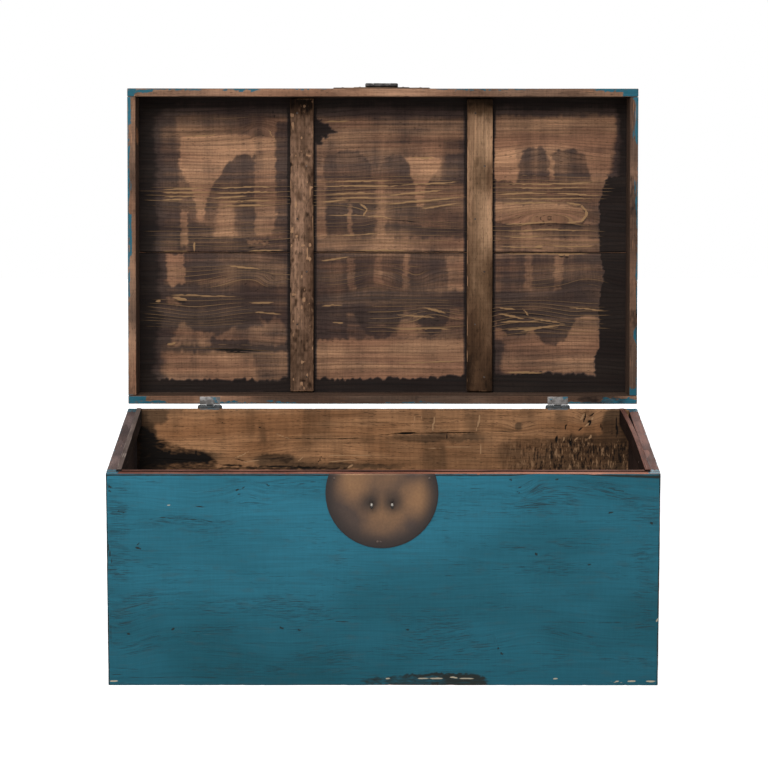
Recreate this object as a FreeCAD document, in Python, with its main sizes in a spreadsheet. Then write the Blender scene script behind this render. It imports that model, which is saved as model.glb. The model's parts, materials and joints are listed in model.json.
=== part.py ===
"""Joined and nailed softwood trunk with a hinged, rail-framed lid, a split round lock plate and a hasp.

The origin is the centre of the underside, +X runs to the right along the front, +Y towards the hinges
and +Z up. The lid stands open on its hinge heels. Lengths are millimetres and angles degrees.
"""
import FreeCAD, Part
import math
import os
import re
import Sketcher
from FreeCAD import Placement, Rotation, Vector

doc = FreeCAD.newDocument("Trunk")

# ---------------------------------------------------------------------------------------------
# Driving dimensions
# ---------------------------------------------------------------------------------------------
sheet = doc.addObject("Spreadsheet::Sheet", "Sizes")

DRIVING = (
    ("chest_width", 900, "outside length of the chest along the front"),
    ("chest_depth", 556.5, "outside depth, front face to back face"),
    ("base_height", 355, "height of the box without its lid"),
    ("lid_height", 114, "outside height of the lid"),
    ("front_thick", 16, "front board"),
    ("back_thick", 17, "back board"),
    ("side_thick", 16.5, "side boards of the box"),
    ("bottom_thick", 15, "bottom boards"),
    ("seam_gap", 0.8, "shrinkage gap between neighbouring boards"),
    ("arris_radius", 1.6, "rounding of the outer arrises"),
    ("strip_thick", 8.5, "lip strips inside the mouth"),
    ("strip_depth", 30, "height of a lip strip"),
    ("side_strip_proud", 4, "side strips above the rim"),
    ("front_strip_proud", 1.4, "front strip above the rim"),
    ("strip_spring", 8, "how far the sprung end of the right strip stands off"),
    ("strip_spring_run", 350, "length of the right strip that has sprung"),
    ("rail_thick", 14.5, "rails of the lid frame"),
    ("lid_board_thick", 14, "boards of the lid's top"),
    ("lid_seam_from_back", 265, "seam between the two lid boards"),
    ("batten_width_left", 42, "left batten"),
    ("batten_width_right", 46, "right batten"),
    ("batten_left_centre", 144.5, "left batten from the middle of the chest"),
    ("batten_right_centre", 173.5, "right batten from the middle of the chest"),
    ("batten_thick", 13, "battens"),
    ("batten_end_gap", 2, "batten end to rail"),
    ("rim_gap", 0.6, "box rim to lid rim with the lid shut"),
    ("lid_open", 97, "opening angle at which the hinge heels bear"),
    ("hinge_setback", 6.2, "hinge axis behind the back face"),
    ("hinge_left_centre", 305.5, "left hinge from the middle of the chest"),
    ("hinge_right_centre", 309.5, "right hinge from the middle of the chest"),
    ("leaf_width", 36, "hinge leaf along the rim"),
    ("leaf_reach", 13, "hinge leaf across the rim"),
    ("leaf_thick", 1.4, "hinge leaf"),
    ("leaf_side_play", 0.3, "mortise to leaf, each side"),
    ("barrel_length", 40.5, "hinge barrel"),
    ("barrel_radius", 4.5, "hinge barrel"),
    ("centre_knuckle", 13, "middle knuckle of the hinge"),
    ("knuckle_play", 0.4, "between knuckles, and barrel to the other leaf"),
    ("pin_radius", 1.8, "hinge pin"),
    ("pin_play", 0.06, "pin to knuckle bore, on the radius"),
    ("pin_head_radius", 3.1, "peened pin head"),
    ("pin_head_thick", 1.3, "peened pin head"),
    ("heel_play", 0.2, "hinge heel to the back board with the lid open"),
    ("heel_drop", 2.2, "top of the heel below the hinge axis"),
    ("lock_shift", -2.2, "middle of the lock from the middle of the chest"),
    ("disc_radius", 91.5, "round lock plate"),
    ("disc_drop", 32.5, "centre of the lock plate below the rim"),
    ("disc_thick", 1.5, "lock plate"),
    ("disc_edge_radius", 0.6, "rubbed rim of the lock plate"),
    ("disc_setback", 0.4, "cut edge of each half plate from its own rim"),
    ("eye_spacing", 33.4, "between the two lock eyes"),
    ("eye_drop", 50.7, "lock eyes below the rim"),
    ("eye_bore_radius", 3.3, "hole of a lock eye"),
    ("eye_bar_thick", 2.4, "half-round bar of the eye, measured outwards"),
    ("eye_bar_width", 4.8, "half-round bar of the eye, along the lock bar"),
    ("eye_stand", 9.2, "centre of the eye's hole in front of the plate"),
    ("eye_leg_radius", 2.2, "the two legs together"),
    ("eye_clench", 13, "each leg bent over inside the box"),
    ("hasp_width", 55, "hasp strap and its barrel"),
    ("hasp_length", 86, "hasp strap from its pin to its tip"),
    ("hasp_thick", 2.4, "hasp strap"),
    ("hasp_corner", 9, "rounded tip corners of the strap"),
    ("hasp_rise", 20, "hasp pin above the lid's rim"),
    ("hasp_barrel_radius", 3.9, "hasp barrel"),
    ("hasp_barrel_stand", 0.25, "hasp barrel to the plate under it"),
    ("hasp_centre_knuckle", 29, "middle knuckle, on the strap"),
    ("hasp_pin_radius", 1.6, "hasp pin"),
    ("hasp_tip_gap", 0.3, "strap tip to what it lies on"),
    ("slot_play", 1, "hasp slot to lock eye, each side"),
    ("bracket_width", 98, "fixed leaf of the hasp"),
    ("bracket_height", 23, "fixed leaf above the hasp pin"),
    ("bracket_thick", 1.2, "fixed leaf of the hasp"),
    ("nail_head_radius", 2.3, "small iron nails"),
    ("nail_head_thick", 0.9, "head of a small nail"),
    ("nail_radius", 0.9, "shank of a small nail"),
    ("nail_length", 13, "small nail under its head"),
    ("nail_crown_share", 0.72, "top of a nail head as a share of its underside"),
    ("nail_point_share", 0.35, "point of a nail as a share of its shank"),
    ("flush_nail_proud", 0.15, "heads of strip, batten and hinge nails above the surface"),
    ("batten_nail_length", 23, "nail through a batten, under its head"),
    ("batten_nail_pitch", 99, "nails along a batten, at most"),
    ("batten_nail_stagger", 8.4, "batten nails to each side of its middle"),
    ("strip_nail_pitch", 136, "nails along a side lip strip, at most"),
    ("front_strip_nail_pitch", 186, "nails along the front lip strip, at most"),
    ("hinge_nail_spacing", 22.3, "between the two nails of a hinge leaf"),
    ("plate_nail_inset", 10.5, "plate nails in from the rim of the lock plate"),
    ("lower_nail_angle", 17.5, "outer nails of the lower plate above the disc's level diameter"),
    ("upper_nail_angle", 32, "outer nails of the upper plate above the disc's level diameter"),
    ("nail_pair_lean", 4, "nail pairs left of the disc's upright diameter"),
    ("nail_pair_turn", 4, "between the two nails of a pair, about the disc's centre"),
    ("bracket_nail_rise", 13.8, "bracket nails above the hasp pin"),
    ("brad_radius", 1.4, "shank of a carcass nail"),
    ("brad_head_radius", 2.6, "head of a carcass nail"),
    ("brad_length", 45, "carcass nail"),
    ("brad_sink", 1.5, "carcass nail heads below the surface"),
    ("brad_pitch", 62, "carcass nails along a joint, at most"),
    ("brad_end", 28, "first carcass nail from the end of its joint"),
    ("board_nail_pitch", 136, "nails along the bottom and the lid's top, at most"),
    ("board_nail_end", 56, "first of these from the end of its joint"),
    ("frame_nail_end", 14, "first lid frame nail from the end of its joint"),
)

DERIVED = (
    ("hinge_y", "chest_depth / 2 + hinge_setback"),
    ("hinge_z", "base_height + rim_gap / 2"),
    ("inner_depth", "lid_height - lid_board_thick"),
    ("lid_back", "-hinge_setback"),
    ("lid_front", "-hinge_setback - chest_depth"),
    ("lid_low", "rim_gap / 2"),
    ("lid_high", "rim_gap / 2 + lid_height"),
    ("lid_panel", "rim_gap / 2 + inner_depth"),
    ("leaf_back", "barrel_radius + knuckle_play"),
    ("side_knuckle", "(barrel_length - centre_knuckle) / 2 - knuckle_play"),
    ("eye_outer", "eye_bore_radius + eye_bar_thick"),
    ("hasp_axis_u", "lid_front - disc_thick - hasp_barrel_stand - hasp_barrel_radius"),
    ("hasp_axis_v", "lid_low + hasp_rise"),
    ("hasp_slot_radius", "hasp_rise + rim_gap + eye_drop"),
    ("hasp_half_clear", "hasp_barrel_stand + hasp_barrel_radius - hasp_thick / 2 - hasp_tip_gap"),
    ("hasp_lean_open", "asin((hasp_half_clear + disc_thick) / hasp_length) / 1 deg"),
    ("hasp_lean_shut", "asin(hasp_half_clear / hasp_length) / 1 deg"),
)

for row, (alias, value, note) in enumerate(DRIVING, 1):
    sheet.set(f"A{row}", alias)
    sheet.set(f"B{row}", str(value))
    sheet.set(f"C{row}", note)
    sheet.setAlias(f"B{row}", alias)
for row, (alias, formula) in enumerate(DERIVED, len(DRIVING) + 1):
    sheet.set(f"A{row}", alias)
    sheet.set(f"B{row}", "=" + formula)
    sheet.setAlias(f"B{row}", alias)
doc.recompute()

NAMES = {entry[0] for entry in DRIVING + DERIVED}


def size(alias):
    """A size of the sheet as a plain number."""
    value = getattr(sheet, alias)
    return float(getattr(value, "Value", value))


def bind(target, prop, formula):
    """Tie a property to a formula on the sheet's aliases."""
    target.setExpression(prop, re.sub(
        "[a-z_]+", lambda word: "Sizes." + word[0] if word[0] in NAMES else word[0], formula))


def evaluate(formula):
    """The present value of a formula on the sheet's aliases, for a sketch's starting corner."""
    value = sheet.evalExpression(formula)
    return float(getattr(value, "Value", value))


# ---------------------------------------------------------------------------------------------
# Placing: box pieces stand in the chest's frame, lid and hasp pieces are drawn with the lid shut
# ---------------------------------------------------------------------------------------------
def place(piece, x="0", y="0", z="0"):
    """Put a piece of the box at x, y, z."""
    for axis, formula in zip("xyz", (x, y, z)):
        bind(piece, f"Placement.Base.{axis}", formula)


def place_in_lid(piece, x="0", u="0", v="0", turn="0"):
    """Put a piece drawn with the lid shut at x, u behind the hinge axis and v above it, on the open lid."""
    piece.Placement = Placement(Vector(), Rotation(Vector(1, 0, 0), -size("lid_open")))
    bind(piece, "Placement.Base.x", x)
    bind(piece, "Placement.Base.y", f"hinge_y + ({u}) * cos( lid_open ) + ({v}) * sin( lid_open )")
    bind(piece, "Placement.Base.z", f"hinge_z - ({u}) * sin( lid_open ) + ({v}) * cos( lid_open )")
    bind(piece, "Placement.Rotation.Angle", f"{turn} - lid_open")


# ---------------------------------------------------------------------------------------------
# Drawing helpers
# ---------------------------------------------------------------------------------------------
parts = []


def keep(piece, label):
    """List a finished piece under the name that its file gets."""
    piece.Label = label
    parts.append(piece)


def new_sketch(body, name, plane, offset="0"):
    """A sketch on one of the body's own origin planes, moved along its normal by offset."""
    sketch = body.newObject("Sketcher::SketchObject", name)
    support = next(item for item in body.Origin.OriginFeatures if item.Role == plane)
    sketch.AttachmentSupport = [(support, "")]
    sketch.MapMode = "FlatFace"
    if offset != "0":
        bind(sketch, "AttachmentOffset.Base.z", offset)
    return sketch


def dimension(sketch, kind, first, second, name, formula, start):
    """A named distance from the sketch's origin to a corner, tied to the sheet."""
    sketch.addConstraint(Sketcher.Constraint(kind, -1, 1, first, second, start))
    sketch.renameConstraint(len(sketch.Constraints) - 1, name)
    bind(sketch, f"Constraints.{name}", formula)


def rectangle(sketch, left, low, right, high, tag=""):
    """A rectangle whose four sides are tied to the sheet; the corners are given as formulas."""
    x0, y0, x1, y1 = (evaluate(formula) for formula in (left, low, right, high))
    corners = [Vector(x0, y0), Vector(x1, y0), Vector(x1, y1), Vector(x0, y1)]
    first = sketch.GeometryCount
    for index in range(4):
        sketch.addGeometry(Part.LineSegment(corners[index], corners[(index + 1) % 4]), False)
    for index in range(4):
        sketch.addConstraint(Sketcher.Constraint(
            "Coincident", first + index, 2, first + (index + 1) % 4, 1))
    for index, kind in enumerate(("Horizontal", "Vertical", "Horizontal", "Vertical")):
        sketch.addConstraint(Sketcher.Constraint(kind, first + index))
    dimension(sketch, "DistanceX", first, 1, f"left{tag}", left, x0)
    dimension(sketch, "DistanceY", first, 1, f"low{tag}", low, y0)
    dimension(sketch, "DistanceX", first + 1, 2, f"right{tag}", right, x1)
    dimension(sketch, "DistanceY", first + 1, 2, f"high{tag}", high, y1)


def pad(body, name, sketch, length, reverse=False):
    """Pad a sketch by a length of the sheet."""
    feature = body.newObject("PartDesign::Pad", name)
    feature.Profile = sketch
    bind(feature, "Length", length)
    feature.Reversed = reverse
    return feature


def pocket(body, name, sketch, depth, reverse=False):
    """Cut a sketch into the body by a depth of the sheet, and test that it took something away."""
    doc.recompute()
    before = body.Shape.Volume
    feature = body.newObject("PartDesign::Pocket", name)
    feature.Profile = sketch
    bind(feature, "Length", depth)
    feature.Reversed = reverse
    doc.recompute()
    if body.Shape.Volume >= before:
        raise RuntimeError(f"{name} cuts nothing")


def ease(body, base, name, chosen, radius="arris_radius"):
    """Round the edges of a feature whose middle point passes the test."""
    doc.recompute()
    edges = [f"Edge{number}" for number, edge in enumerate(base.Shape.Edges, 1)
             if chosen(edge.CenterOfMass)]
    feature = body.newObject("PartDesign::Fillet", name)
    feature.Base = (base, edges)
    bind(feature, "Radius", radius)


def near(value, target):
    """Whether two lengths are the same within a hundredth."""
    return abs(value - target) < 0.01


def board(label, length, width, height):
    """A plain board: length along X, width along Y, height along Z, from its own corner."""
    body = doc.addObject("PartDesign::Body", label)
    outline = new_sketch(body, f"{label}_outline", "XY_Plane")
    rectangle(outline, "0", "0", length, width)
    block = pad(body, f"{label}_block", outline, height)
    keep(body, label)
    return body, block


# ---------------------------------------------------------------------------------------------
# Box: front and back boards run through, side boards and bottom boards stand between them
# ---------------------------------------------------------------------------------------------
inner_width = "( chest_width - 2 * side_thick )"
inner_reach = "( chest_depth - front_thick - back_thick )"

front_board, front_block = board("front_board", "chest_width", "front_thick", "base_height")
ease(front_board, front_block, "front_board_arrises",
     lambda c: near(c.y, 0) or (near(c.y, size("front_thick") / 2) and near(c.z, size("base_height"))))
place(front_board, "0 - chest_width / 2", "0 - chest_depth / 2")

back_board = board("back_board", "chest_width", "back_thick", "base_height")[0]
hinge_mortises = new_sketch(back_board, "back_board_mortises", "XY_Plane", "base_height")
for side, middle in (("_left", "chest_width / 2 - hinge_left_centre"),
                     ("_right", "chest_width / 2 + hinge_right_centre")):
    rectangle(hinge_mortises, f"{middle} - leaf_width / 2 - leaf_side_play", "back_thick - leaf_reach",
              f"{middle} + leaf_width / 2 + leaf_side_play", "back_thick", side)
pocket(back_board, "back_board_mortise_cut", hinge_mortises, "leaf_thick")
place(back_board, "0 - chest_width / 2", "chest_depth / 2 - back_thick")

for side, corner in (("left", "0 - chest_width / 2"), ("right", "chest_width / 2 - side_thick")):
    side_board, side_block = board(f"{side}_side_board", "side_thick", inner_reach, "base_height")
    outer_x = 0 if side == "left" else size("side_thick")
    ease(side_board, side_block, f"{side}_side_arrises",
         lambda c, face=outer_x: near(c.x, face) and not near(c.z, size("base_height") / 2))
    place(side_board, corner, "front_thick - chest_depth / 2")

bottom_share = f"( {inner_reach} / 3 )"
for order, name in enumerate(("front", "middle", "rear")):
    start = "0" if order == 0 else "seam_gap / 2"
    end = "0" if order == 2 else "seam_gap / 2"
    bottom_board = board(f"bottom_board_{name}", inner_width,
                         f"{bottom_share} - {start} - {end}", "bottom_thick")[0]
    place(bottom_board, "side_thick - chest_width / 2",
          f"front_thick - chest_depth / 2 + {order} * {bottom_share} + {start}")

# Lip strips: nailed inside the mouth and standing proud of the rim, so that the lid drops over them
front_strip = board("front_lip_strip", f"{inner_width} - 2 * strip_thick",
                    "strip_thick", "strip_depth")[0]
place(front_strip, "side_thick + strip_thick - chest_width / 2", "front_thick - chest_depth / 2",
      "base_height + front_strip_proud - strip_depth")

left_strip, left_strip_block = board("left_lip_strip", "strip_thick", inner_reach, "strip_depth")
ease(left_strip, left_strip_block, "left_lip_arris",
     lambda c: near(c.x, size("strip_thick")) and near(c.z, size("strip_depth")))
place(left_strip, "side_thick - chest_width / 2", "front_thick - chest_depth / 2",
      "base_height + side_strip_proud - strip_depth")

# The right strip has sprung away from its board towards the hinges: a straight run, then two
# concentric arcs that leave it at a tangent
right_strip = doc.addObject("PartDesign::Body", "right_lip_strip")
sprung = new_sketch(right_strip, "right_lip_plan", "XY_Plane")
thick, total = size("strip_thick"), evaluate(inner_reach)
straight = total - size("strip_spring_run")
bend_radius = (size("strip_spring_run") ** 2 + size("strip_spring") ** 2) / (2 * size("strip_spring"))
bend_centre = Vector(-bend_radius, straight)
outer_turn = math.asin(size("strip_spring_run") / bend_radius)
inner_turn = math.asin(size("strip_spring_run") / (bend_radius - thick))
up = Vector(0, 0, 1)
sprung.addGeometry(Part.LineSegment(Vector(0, 0), Vector(0, straight)), False)
sprung.addGeometry(Part.ArcOfCircle(Part.Circle(bend_centre, up, bend_radius), 0, outer_turn), False)
sprung.addGeometry(Part.LineSegment(
    bend_centre + Vector(bend_radius * math.cos(outer_turn), total - straight),
    bend_centre + Vector((bend_radius - thick) * math.cos(inner_turn), total - straight)), False)
sprung.addGeometry(Part.ArcOfCircle(
    Part.Circle(bend_centre, up, bend_radius - thick), 0, inner_turn), False)
sprung.addGeometry(Part.LineSegment(Vector(-thick, straight), Vector(-thick, 0)), False)
sprung.addGeometry(Part.LineSegment(Vector(-thick, 0), Vector(0, 0)), False)
for link in (("Coincident", 0, 1, -1, 1), ("Vertical", 0), ("Tangent", 0, 2, 1, 1),
             ("Coincident", 1, 2, 2, 1), ("Horizontal", 2), ("Coincident", 2, 2, 3, 2),
             ("Coincident", 1, 3, 3, 3), ("Tangent", 3, 1, 4, 1), ("Vertical", 4),
             ("Coincident", 4, 2, 5, 1), ("Horizontal", 5), ("Coincident", 5, 2, 0, 1)):
    sprung.addConstraint(Sketcher.Constraint(*link))
dimension(sprung, "DistanceY", 0, 2, "straight", f"{inner_reach} - strip_spring_run", straight)
dimension(sprung, "DistanceX", 4, 2, "thickness", "0 - strip_thick", -thick)
dimension(sprung, "DistanceY", 1, 2, "reach", inner_reach, total)
dimension(sprung, "DistanceX", 1, 2, "spring", "0 - strip_spring", -size("strip_spring"))
pad(right_strip, "right_lip_block", sprung, "strip_depth")
keep(right_strip, "right_lip_strip")
place(right_strip, "chest_width / 2 - side_thick", "front_thick - chest_depth / 2",
      "base_height + side_strip_proud - strip_depth")

# ---------------------------------------------------------------------------------------------
# Lid: a frame of four rails with two boards nailed over it and two battens across the boards
# ---------------------------------------------------------------------------------------------
lid_corner = "0 - chest_width / 2"
front_rail, front_rail_block = board("lid_front_rail", "chest_width", "rail_thick", "inner_depth")
ease(front_rail, front_rail_block, "lid_front_rail_arrises",
     lambda c: near(c.y, 0) and not near(c.z, size("inner_depth")))
place_in_lid(front_rail, lid_corner, "lid_front", "lid_low")

back_rail = board("lid_back_rail", "chest_width", "rail_thick", "inner_depth")[0]
lid_mortises = new_sketch(back_rail, "lid_back_rail_mortises", "XY_Plane")
for side, middle in (("_left", "chest_width / 2 - hinge_left_centre"),
                     ("_right", "chest_width / 2 + hinge_right_centre")):
    rectangle(lid_mortises, f"{middle} - leaf_width / 2 - leaf_side_play", "rail_thick - leaf_reach",
              f"{middle} + leaf_width / 2 + leaf_side_play", "rail_thick", side)
pocket(back_rail, "lid_back_rail_mortise_cut", lid_mortises, "leaf_thick", reverse=True)
place_in_lid(back_rail, lid_corner, "lid_back - rail_thick", "lid_low")

for side, corner in (("left", lid_corner), ("right", "chest_width / 2 - rail_thick")):
    rail, rail_block = board(f"lid_{side}_rail", "rail_thick", "chest_depth - 2 * rail_thick", "inner_depth")
    outer_x = 0 if side == "left" else size("rail_thick")
    ease(rail, rail_block, f"lid_{side}_rail_arris",
         lambda c, face=outer_x: near(c.x, face) and near(c.z, 0))
    place_in_lid(rail, corner, "lid_front + rail_thick", "lid_low")

for name, start, width in (
        ("front", "lid_front", "chest_depth - lid_seam_from_back - seam_gap / 2"),
        ("rear", "lid_back - lid_seam_from_back + seam_gap / 2", "lid_seam_from_back - seam_gap / 2")):
    lid_board, lid_block = board(f"lid_board_{name}", "chest_width", width, "lid_board_thick")
    seam_y = evaluate(width) if name == "front" else 0
    ease(lid_board, lid_block, f"lid_board_{name}_arrises",
         lambda c, seam=seam_y: near(c.z, size("lid_board_thick")) and not near(c.y, seam))
    place_in_lid(lid_board, lid_corner, start, "lid_panel")

for side, width, middle in (("left", "batten_width_left", "0 - batten_left_centre"),
                            ("right", "batten_width_right", "batten_right_centre")):
    batten, batten_block = board(f"{side}_batten", width,
                                 "chest_depth - 2 * rail_thick - 2 * batten_end_gap", "batten_thick")
    ease(batten, batten_block, f"{side}_batten_arrises", lambda c: near(c.z, 0))
    place_in_lid(batten, f"{middle} - {width} / 2", "lid_front + rail_thick + batten_end_gap",
                 "lid_panel - batten_thick")


# ---------------------------------------------------------------------------------------------
# Hinges: leaves let in flush, two outer knuckles on the box and the middle one, with its heel, on the lid
# ---------------------------------------------------------------------------------------------
def block(name, length, width, height, x, y, z):
    """A box primitive with its corner at x, y, z."""
    item = doc.addObject("Part::Box", name)
    for prop, formula in (("Length", length), ("Width", width), ("Height", height)):
        bind(item, prop, formula)
    place(item, x, y, z)
    return item


def rod(name, radius, length, x, y="0", z="0", direction=Vector(1, 0, 0)):
    """A round bar along a direction, from x, y, z."""
    item = doc.addObject("Part::Cylinder", name)
    item.Placement = Placement(Vector(), Rotation(Vector(0, 0, 1), direction))
    bind(item, "Radius", radius)
    bind(item, "Height", length)
    place(item, x, y, z)
    return item


def join(name, pieces):
    """One solid from touching primitives."""
    item = doc.addObject("Part::MultiFuse", name)
    item.Shapes = pieces
    item.Refine = True
    return item


def cut(name, base, tool):
    """A base less a tool."""
    item = doc.addObject("Part::Cut", name)
    item.Base = base
    item.Tool = tool
    return item


def riveted_pin(label, radius, barrel, head_radius, head_thick):
    """A pin through a barrel along X, centred, with a peened head at each end: one turned outline."""
    body = doc.addObject("PartDesign::Body", label)
    outline = new_sketch(body, f"{label}_outline", "XZ_Plane")
    half = f"{barrel} / 2"
    rectangle(outline, f"0 - {half}", "0", half, radius)
    shank = body.newObject("PartDesign::Revolution", f"{label}_shank")
    shank.Profile = outline
    shank.ReferenceAxis = (outline, ["H_Axis"])
    shank.Angle = 360
    for end, plane_x in (("near", f"0 - {half} - {head_thick}"), ("far", half)):
        head = new_sketch(body, f"{label}_{end}_head", "YZ_Plane", plane_x)
        radius_now = evaluate(head_radius)
        head.addGeometry(Part.Circle(Vector(0, 0), Vector(0, 0, 1), radius_now), False)
        head.addConstraint(Sketcher.Constraint("Coincident", 0, 3, -1, 1))
        head.addConstraint(Sketcher.Constraint("Radius", 0, radius_now))
        head.renameConstraint(1, "head")
        bind(head, "Constraints.head", head_radius)
        pad(body, f"{label}_{end}_cap", head, head_thick)
    doc.recompute()
    caps = body.Tip
    reach = evaluate(f"{half} + {head_thick}")
    ease(body, caps, f"{label}_domes", lambda c: near(abs(c.x), reach), f"{head_thick} / 2")
    keep(body, label)
    return body


leaf_bore = "pin_radius + pin_play"
for side, middle in (("left", "0 - hinge_left_centre"), ("right", "hinge_right_centre")):
    tag = f"{side}_base"
    shell = join(f"{tag}_leaf_blank", [
        block(f"{tag}_plate", "leaf_width", "leaf_reach - leaf_back + hinge_setback", "leaf_thick",
              "0 - leaf_width / 2", "0 - hinge_setback - leaf_reach", "0 - rim_gap / 2 - leaf_thick"),
        block(f"{tag}_tongue_near", "leaf_width / 2 - centre_knuckle / 2 - knuckle_play",
              "leaf_back", "leaf_thick",
              "0 - leaf_width / 2", "0 - leaf_back", "0 - rim_gap / 2 - leaf_thick"),
        block(f"{tag}_tongue_far", "leaf_width / 2 - centre_knuckle / 2 - knuckle_play",
              "leaf_back", "leaf_thick",
              "centre_knuckle / 2 + knuckle_play", "0 - leaf_back", "0 - rim_gap / 2 - leaf_thick"),
        rod(f"{tag}_knuckle_near", "barrel_radius", "side_knuckle", "0 - barrel_length / 2"),
        rod(f"{tag}_knuckle_far", "barrel_radius", "side_knuckle",
            "centre_knuckle / 2 + knuckle_play")])
    base_leaf = cut(f"{tag}_leaf", shell,
                    rod(f"{tag}_bore", leaf_bore, "2 * barrel_length", "0 - barrel_length"))
    keep(base_leaf, f"{side}_hinge_base_leaf")
    place(base_leaf, middle, "hinge_y", "hinge_z")

    # The heel is square to the back board when the lid stands open, so it is drawn turned by that angle
    tag = f"{side}_lid"
    heel = block(f"{tag}_heel", "centre_knuckle", "hinge_setback - heel_play",
                 "barrel_radius - heel_drop", "0 - centre_knuckle / 2",
                 "0 - ( hinge_setback - heel_play ) * cos( lid_open ) + barrel_radius * sin( lid_open )",
                 "0 - ( hinge_setback - heel_play ) * sin( lid_open ) - barrel_radius * cos( lid_open )")
    heel.Placement = Placement(heel.Placement.Base, Rotation(Vector(1, 0, 0), size("lid_open")))
    bind(heel, "Placement.Rotation.Angle", "lid_open")
    shell = join(f"{tag}_leaf_blank", [
        block(f"{tag}_plate", "leaf_width", "leaf_reach - leaf_back + hinge_setback", "leaf_thick",
              "0 - leaf_width / 2", "0 - hinge_setback - leaf_reach", "rim_gap / 2"),
        block(f"{tag}_tongue", "centre_knuckle", "leaf_back", "leaf_thick",
              "0 - centre_knuckle / 2", "0 - leaf_back", "rim_gap / 2"),
        rod(f"{tag}_knuckle", "barrel_radius", "centre_knuckle", "0 - centre_knuckle / 2"),
        heel])
    lid_leaf = cut(f"{tag}_leaf", shell,
                   rod(f"{tag}_bore", leaf_bore, "2 * barrel_length", "0 - barrel_length"))
    keep(lid_leaf, f"{side}_hinge_lid_leaf")
    place_in_lid(lid_leaf, middle)

    hinge_pin = riveted_pin(f"{side}_hinge_pin", "pin_radius", "barrel_length",
                            "pin_head_radius", "pin_head_thick")
    place(hinge_pin, middle, "hinge_y", "hinge_z")


# ---------------------------------------------------------------------------------------------
# Lock: a round plate cut along the rim, two split-pin eyes below the rim and a slotted hasp above it
# ---------------------------------------------------------------------------------------------
def half_plate(label, edge, upper):
    """One part of the round plate, drawn upright about the disc's centre and cut straight at edge."""
    body = doc.addObject("PartDesign::Body", label)
    outline = new_sketch(body, f"{label}_outline", "XZ_Plane")
    radius, height = size("disc_radius"), evaluate(edge)
    corner = math.acos(height / radius)
    start, end = math.pi / 2 - corner, math.pi / 2 + corner
    if not upper:
        start, end = end, start + 2 * math.pi
    disc = Part.Circle(Vector(0, 0), Vector(0, 0, 1), radius)
    outline.addGeometry(Part.ArcOfCircle(disc, start, end), False)
    ends = [Vector(radius * math.cos(angle), radius * math.sin(angle)) for angle in (end, start)]
    outline.addGeometry(Part.LineSegment(*ends), False)
    for link in (("Coincident", 0, 3, -1, 1), ("Coincident", 0, 2, 1, 1),
                 ("Coincident", 1, 2, 0, 1), ("Horizontal", 1)):
        outline.addConstraint(Sketcher.Constraint(*link))
    outline.addConstraint(Sketcher.Constraint("Radius", 0, radius))
    outline.renameConstraint(4, "radius")
    bind(outline, "Constraints.radius", "disc_radius")
    dimension(outline, "DistanceY", 1, 1, "edge", edge, height)
    plate = pad(body, f"{label}_plate", outline, "disc_thick")
    ease(body, plate, f"{label}_rim", lambda c: near(c.y, -size("disc_thick")), "disc_edge_radius")
    keep(body, label)
    return body


lower_plate = half_plate("lower_lock_plate", "disc_drop - disc_setback", upper=False)
place(lower_plate, "lock_shift", "0 - chest_depth / 2", "base_height - disc_drop")
upper_plate = half_plate("upper_lock_plate", "disc_drop + rim_gap + disc_setback", upper=True)
place_in_lid(upper_plate, "lock_shift", "lid_front", "lid_low - rim_gap - disc_drop")

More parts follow.
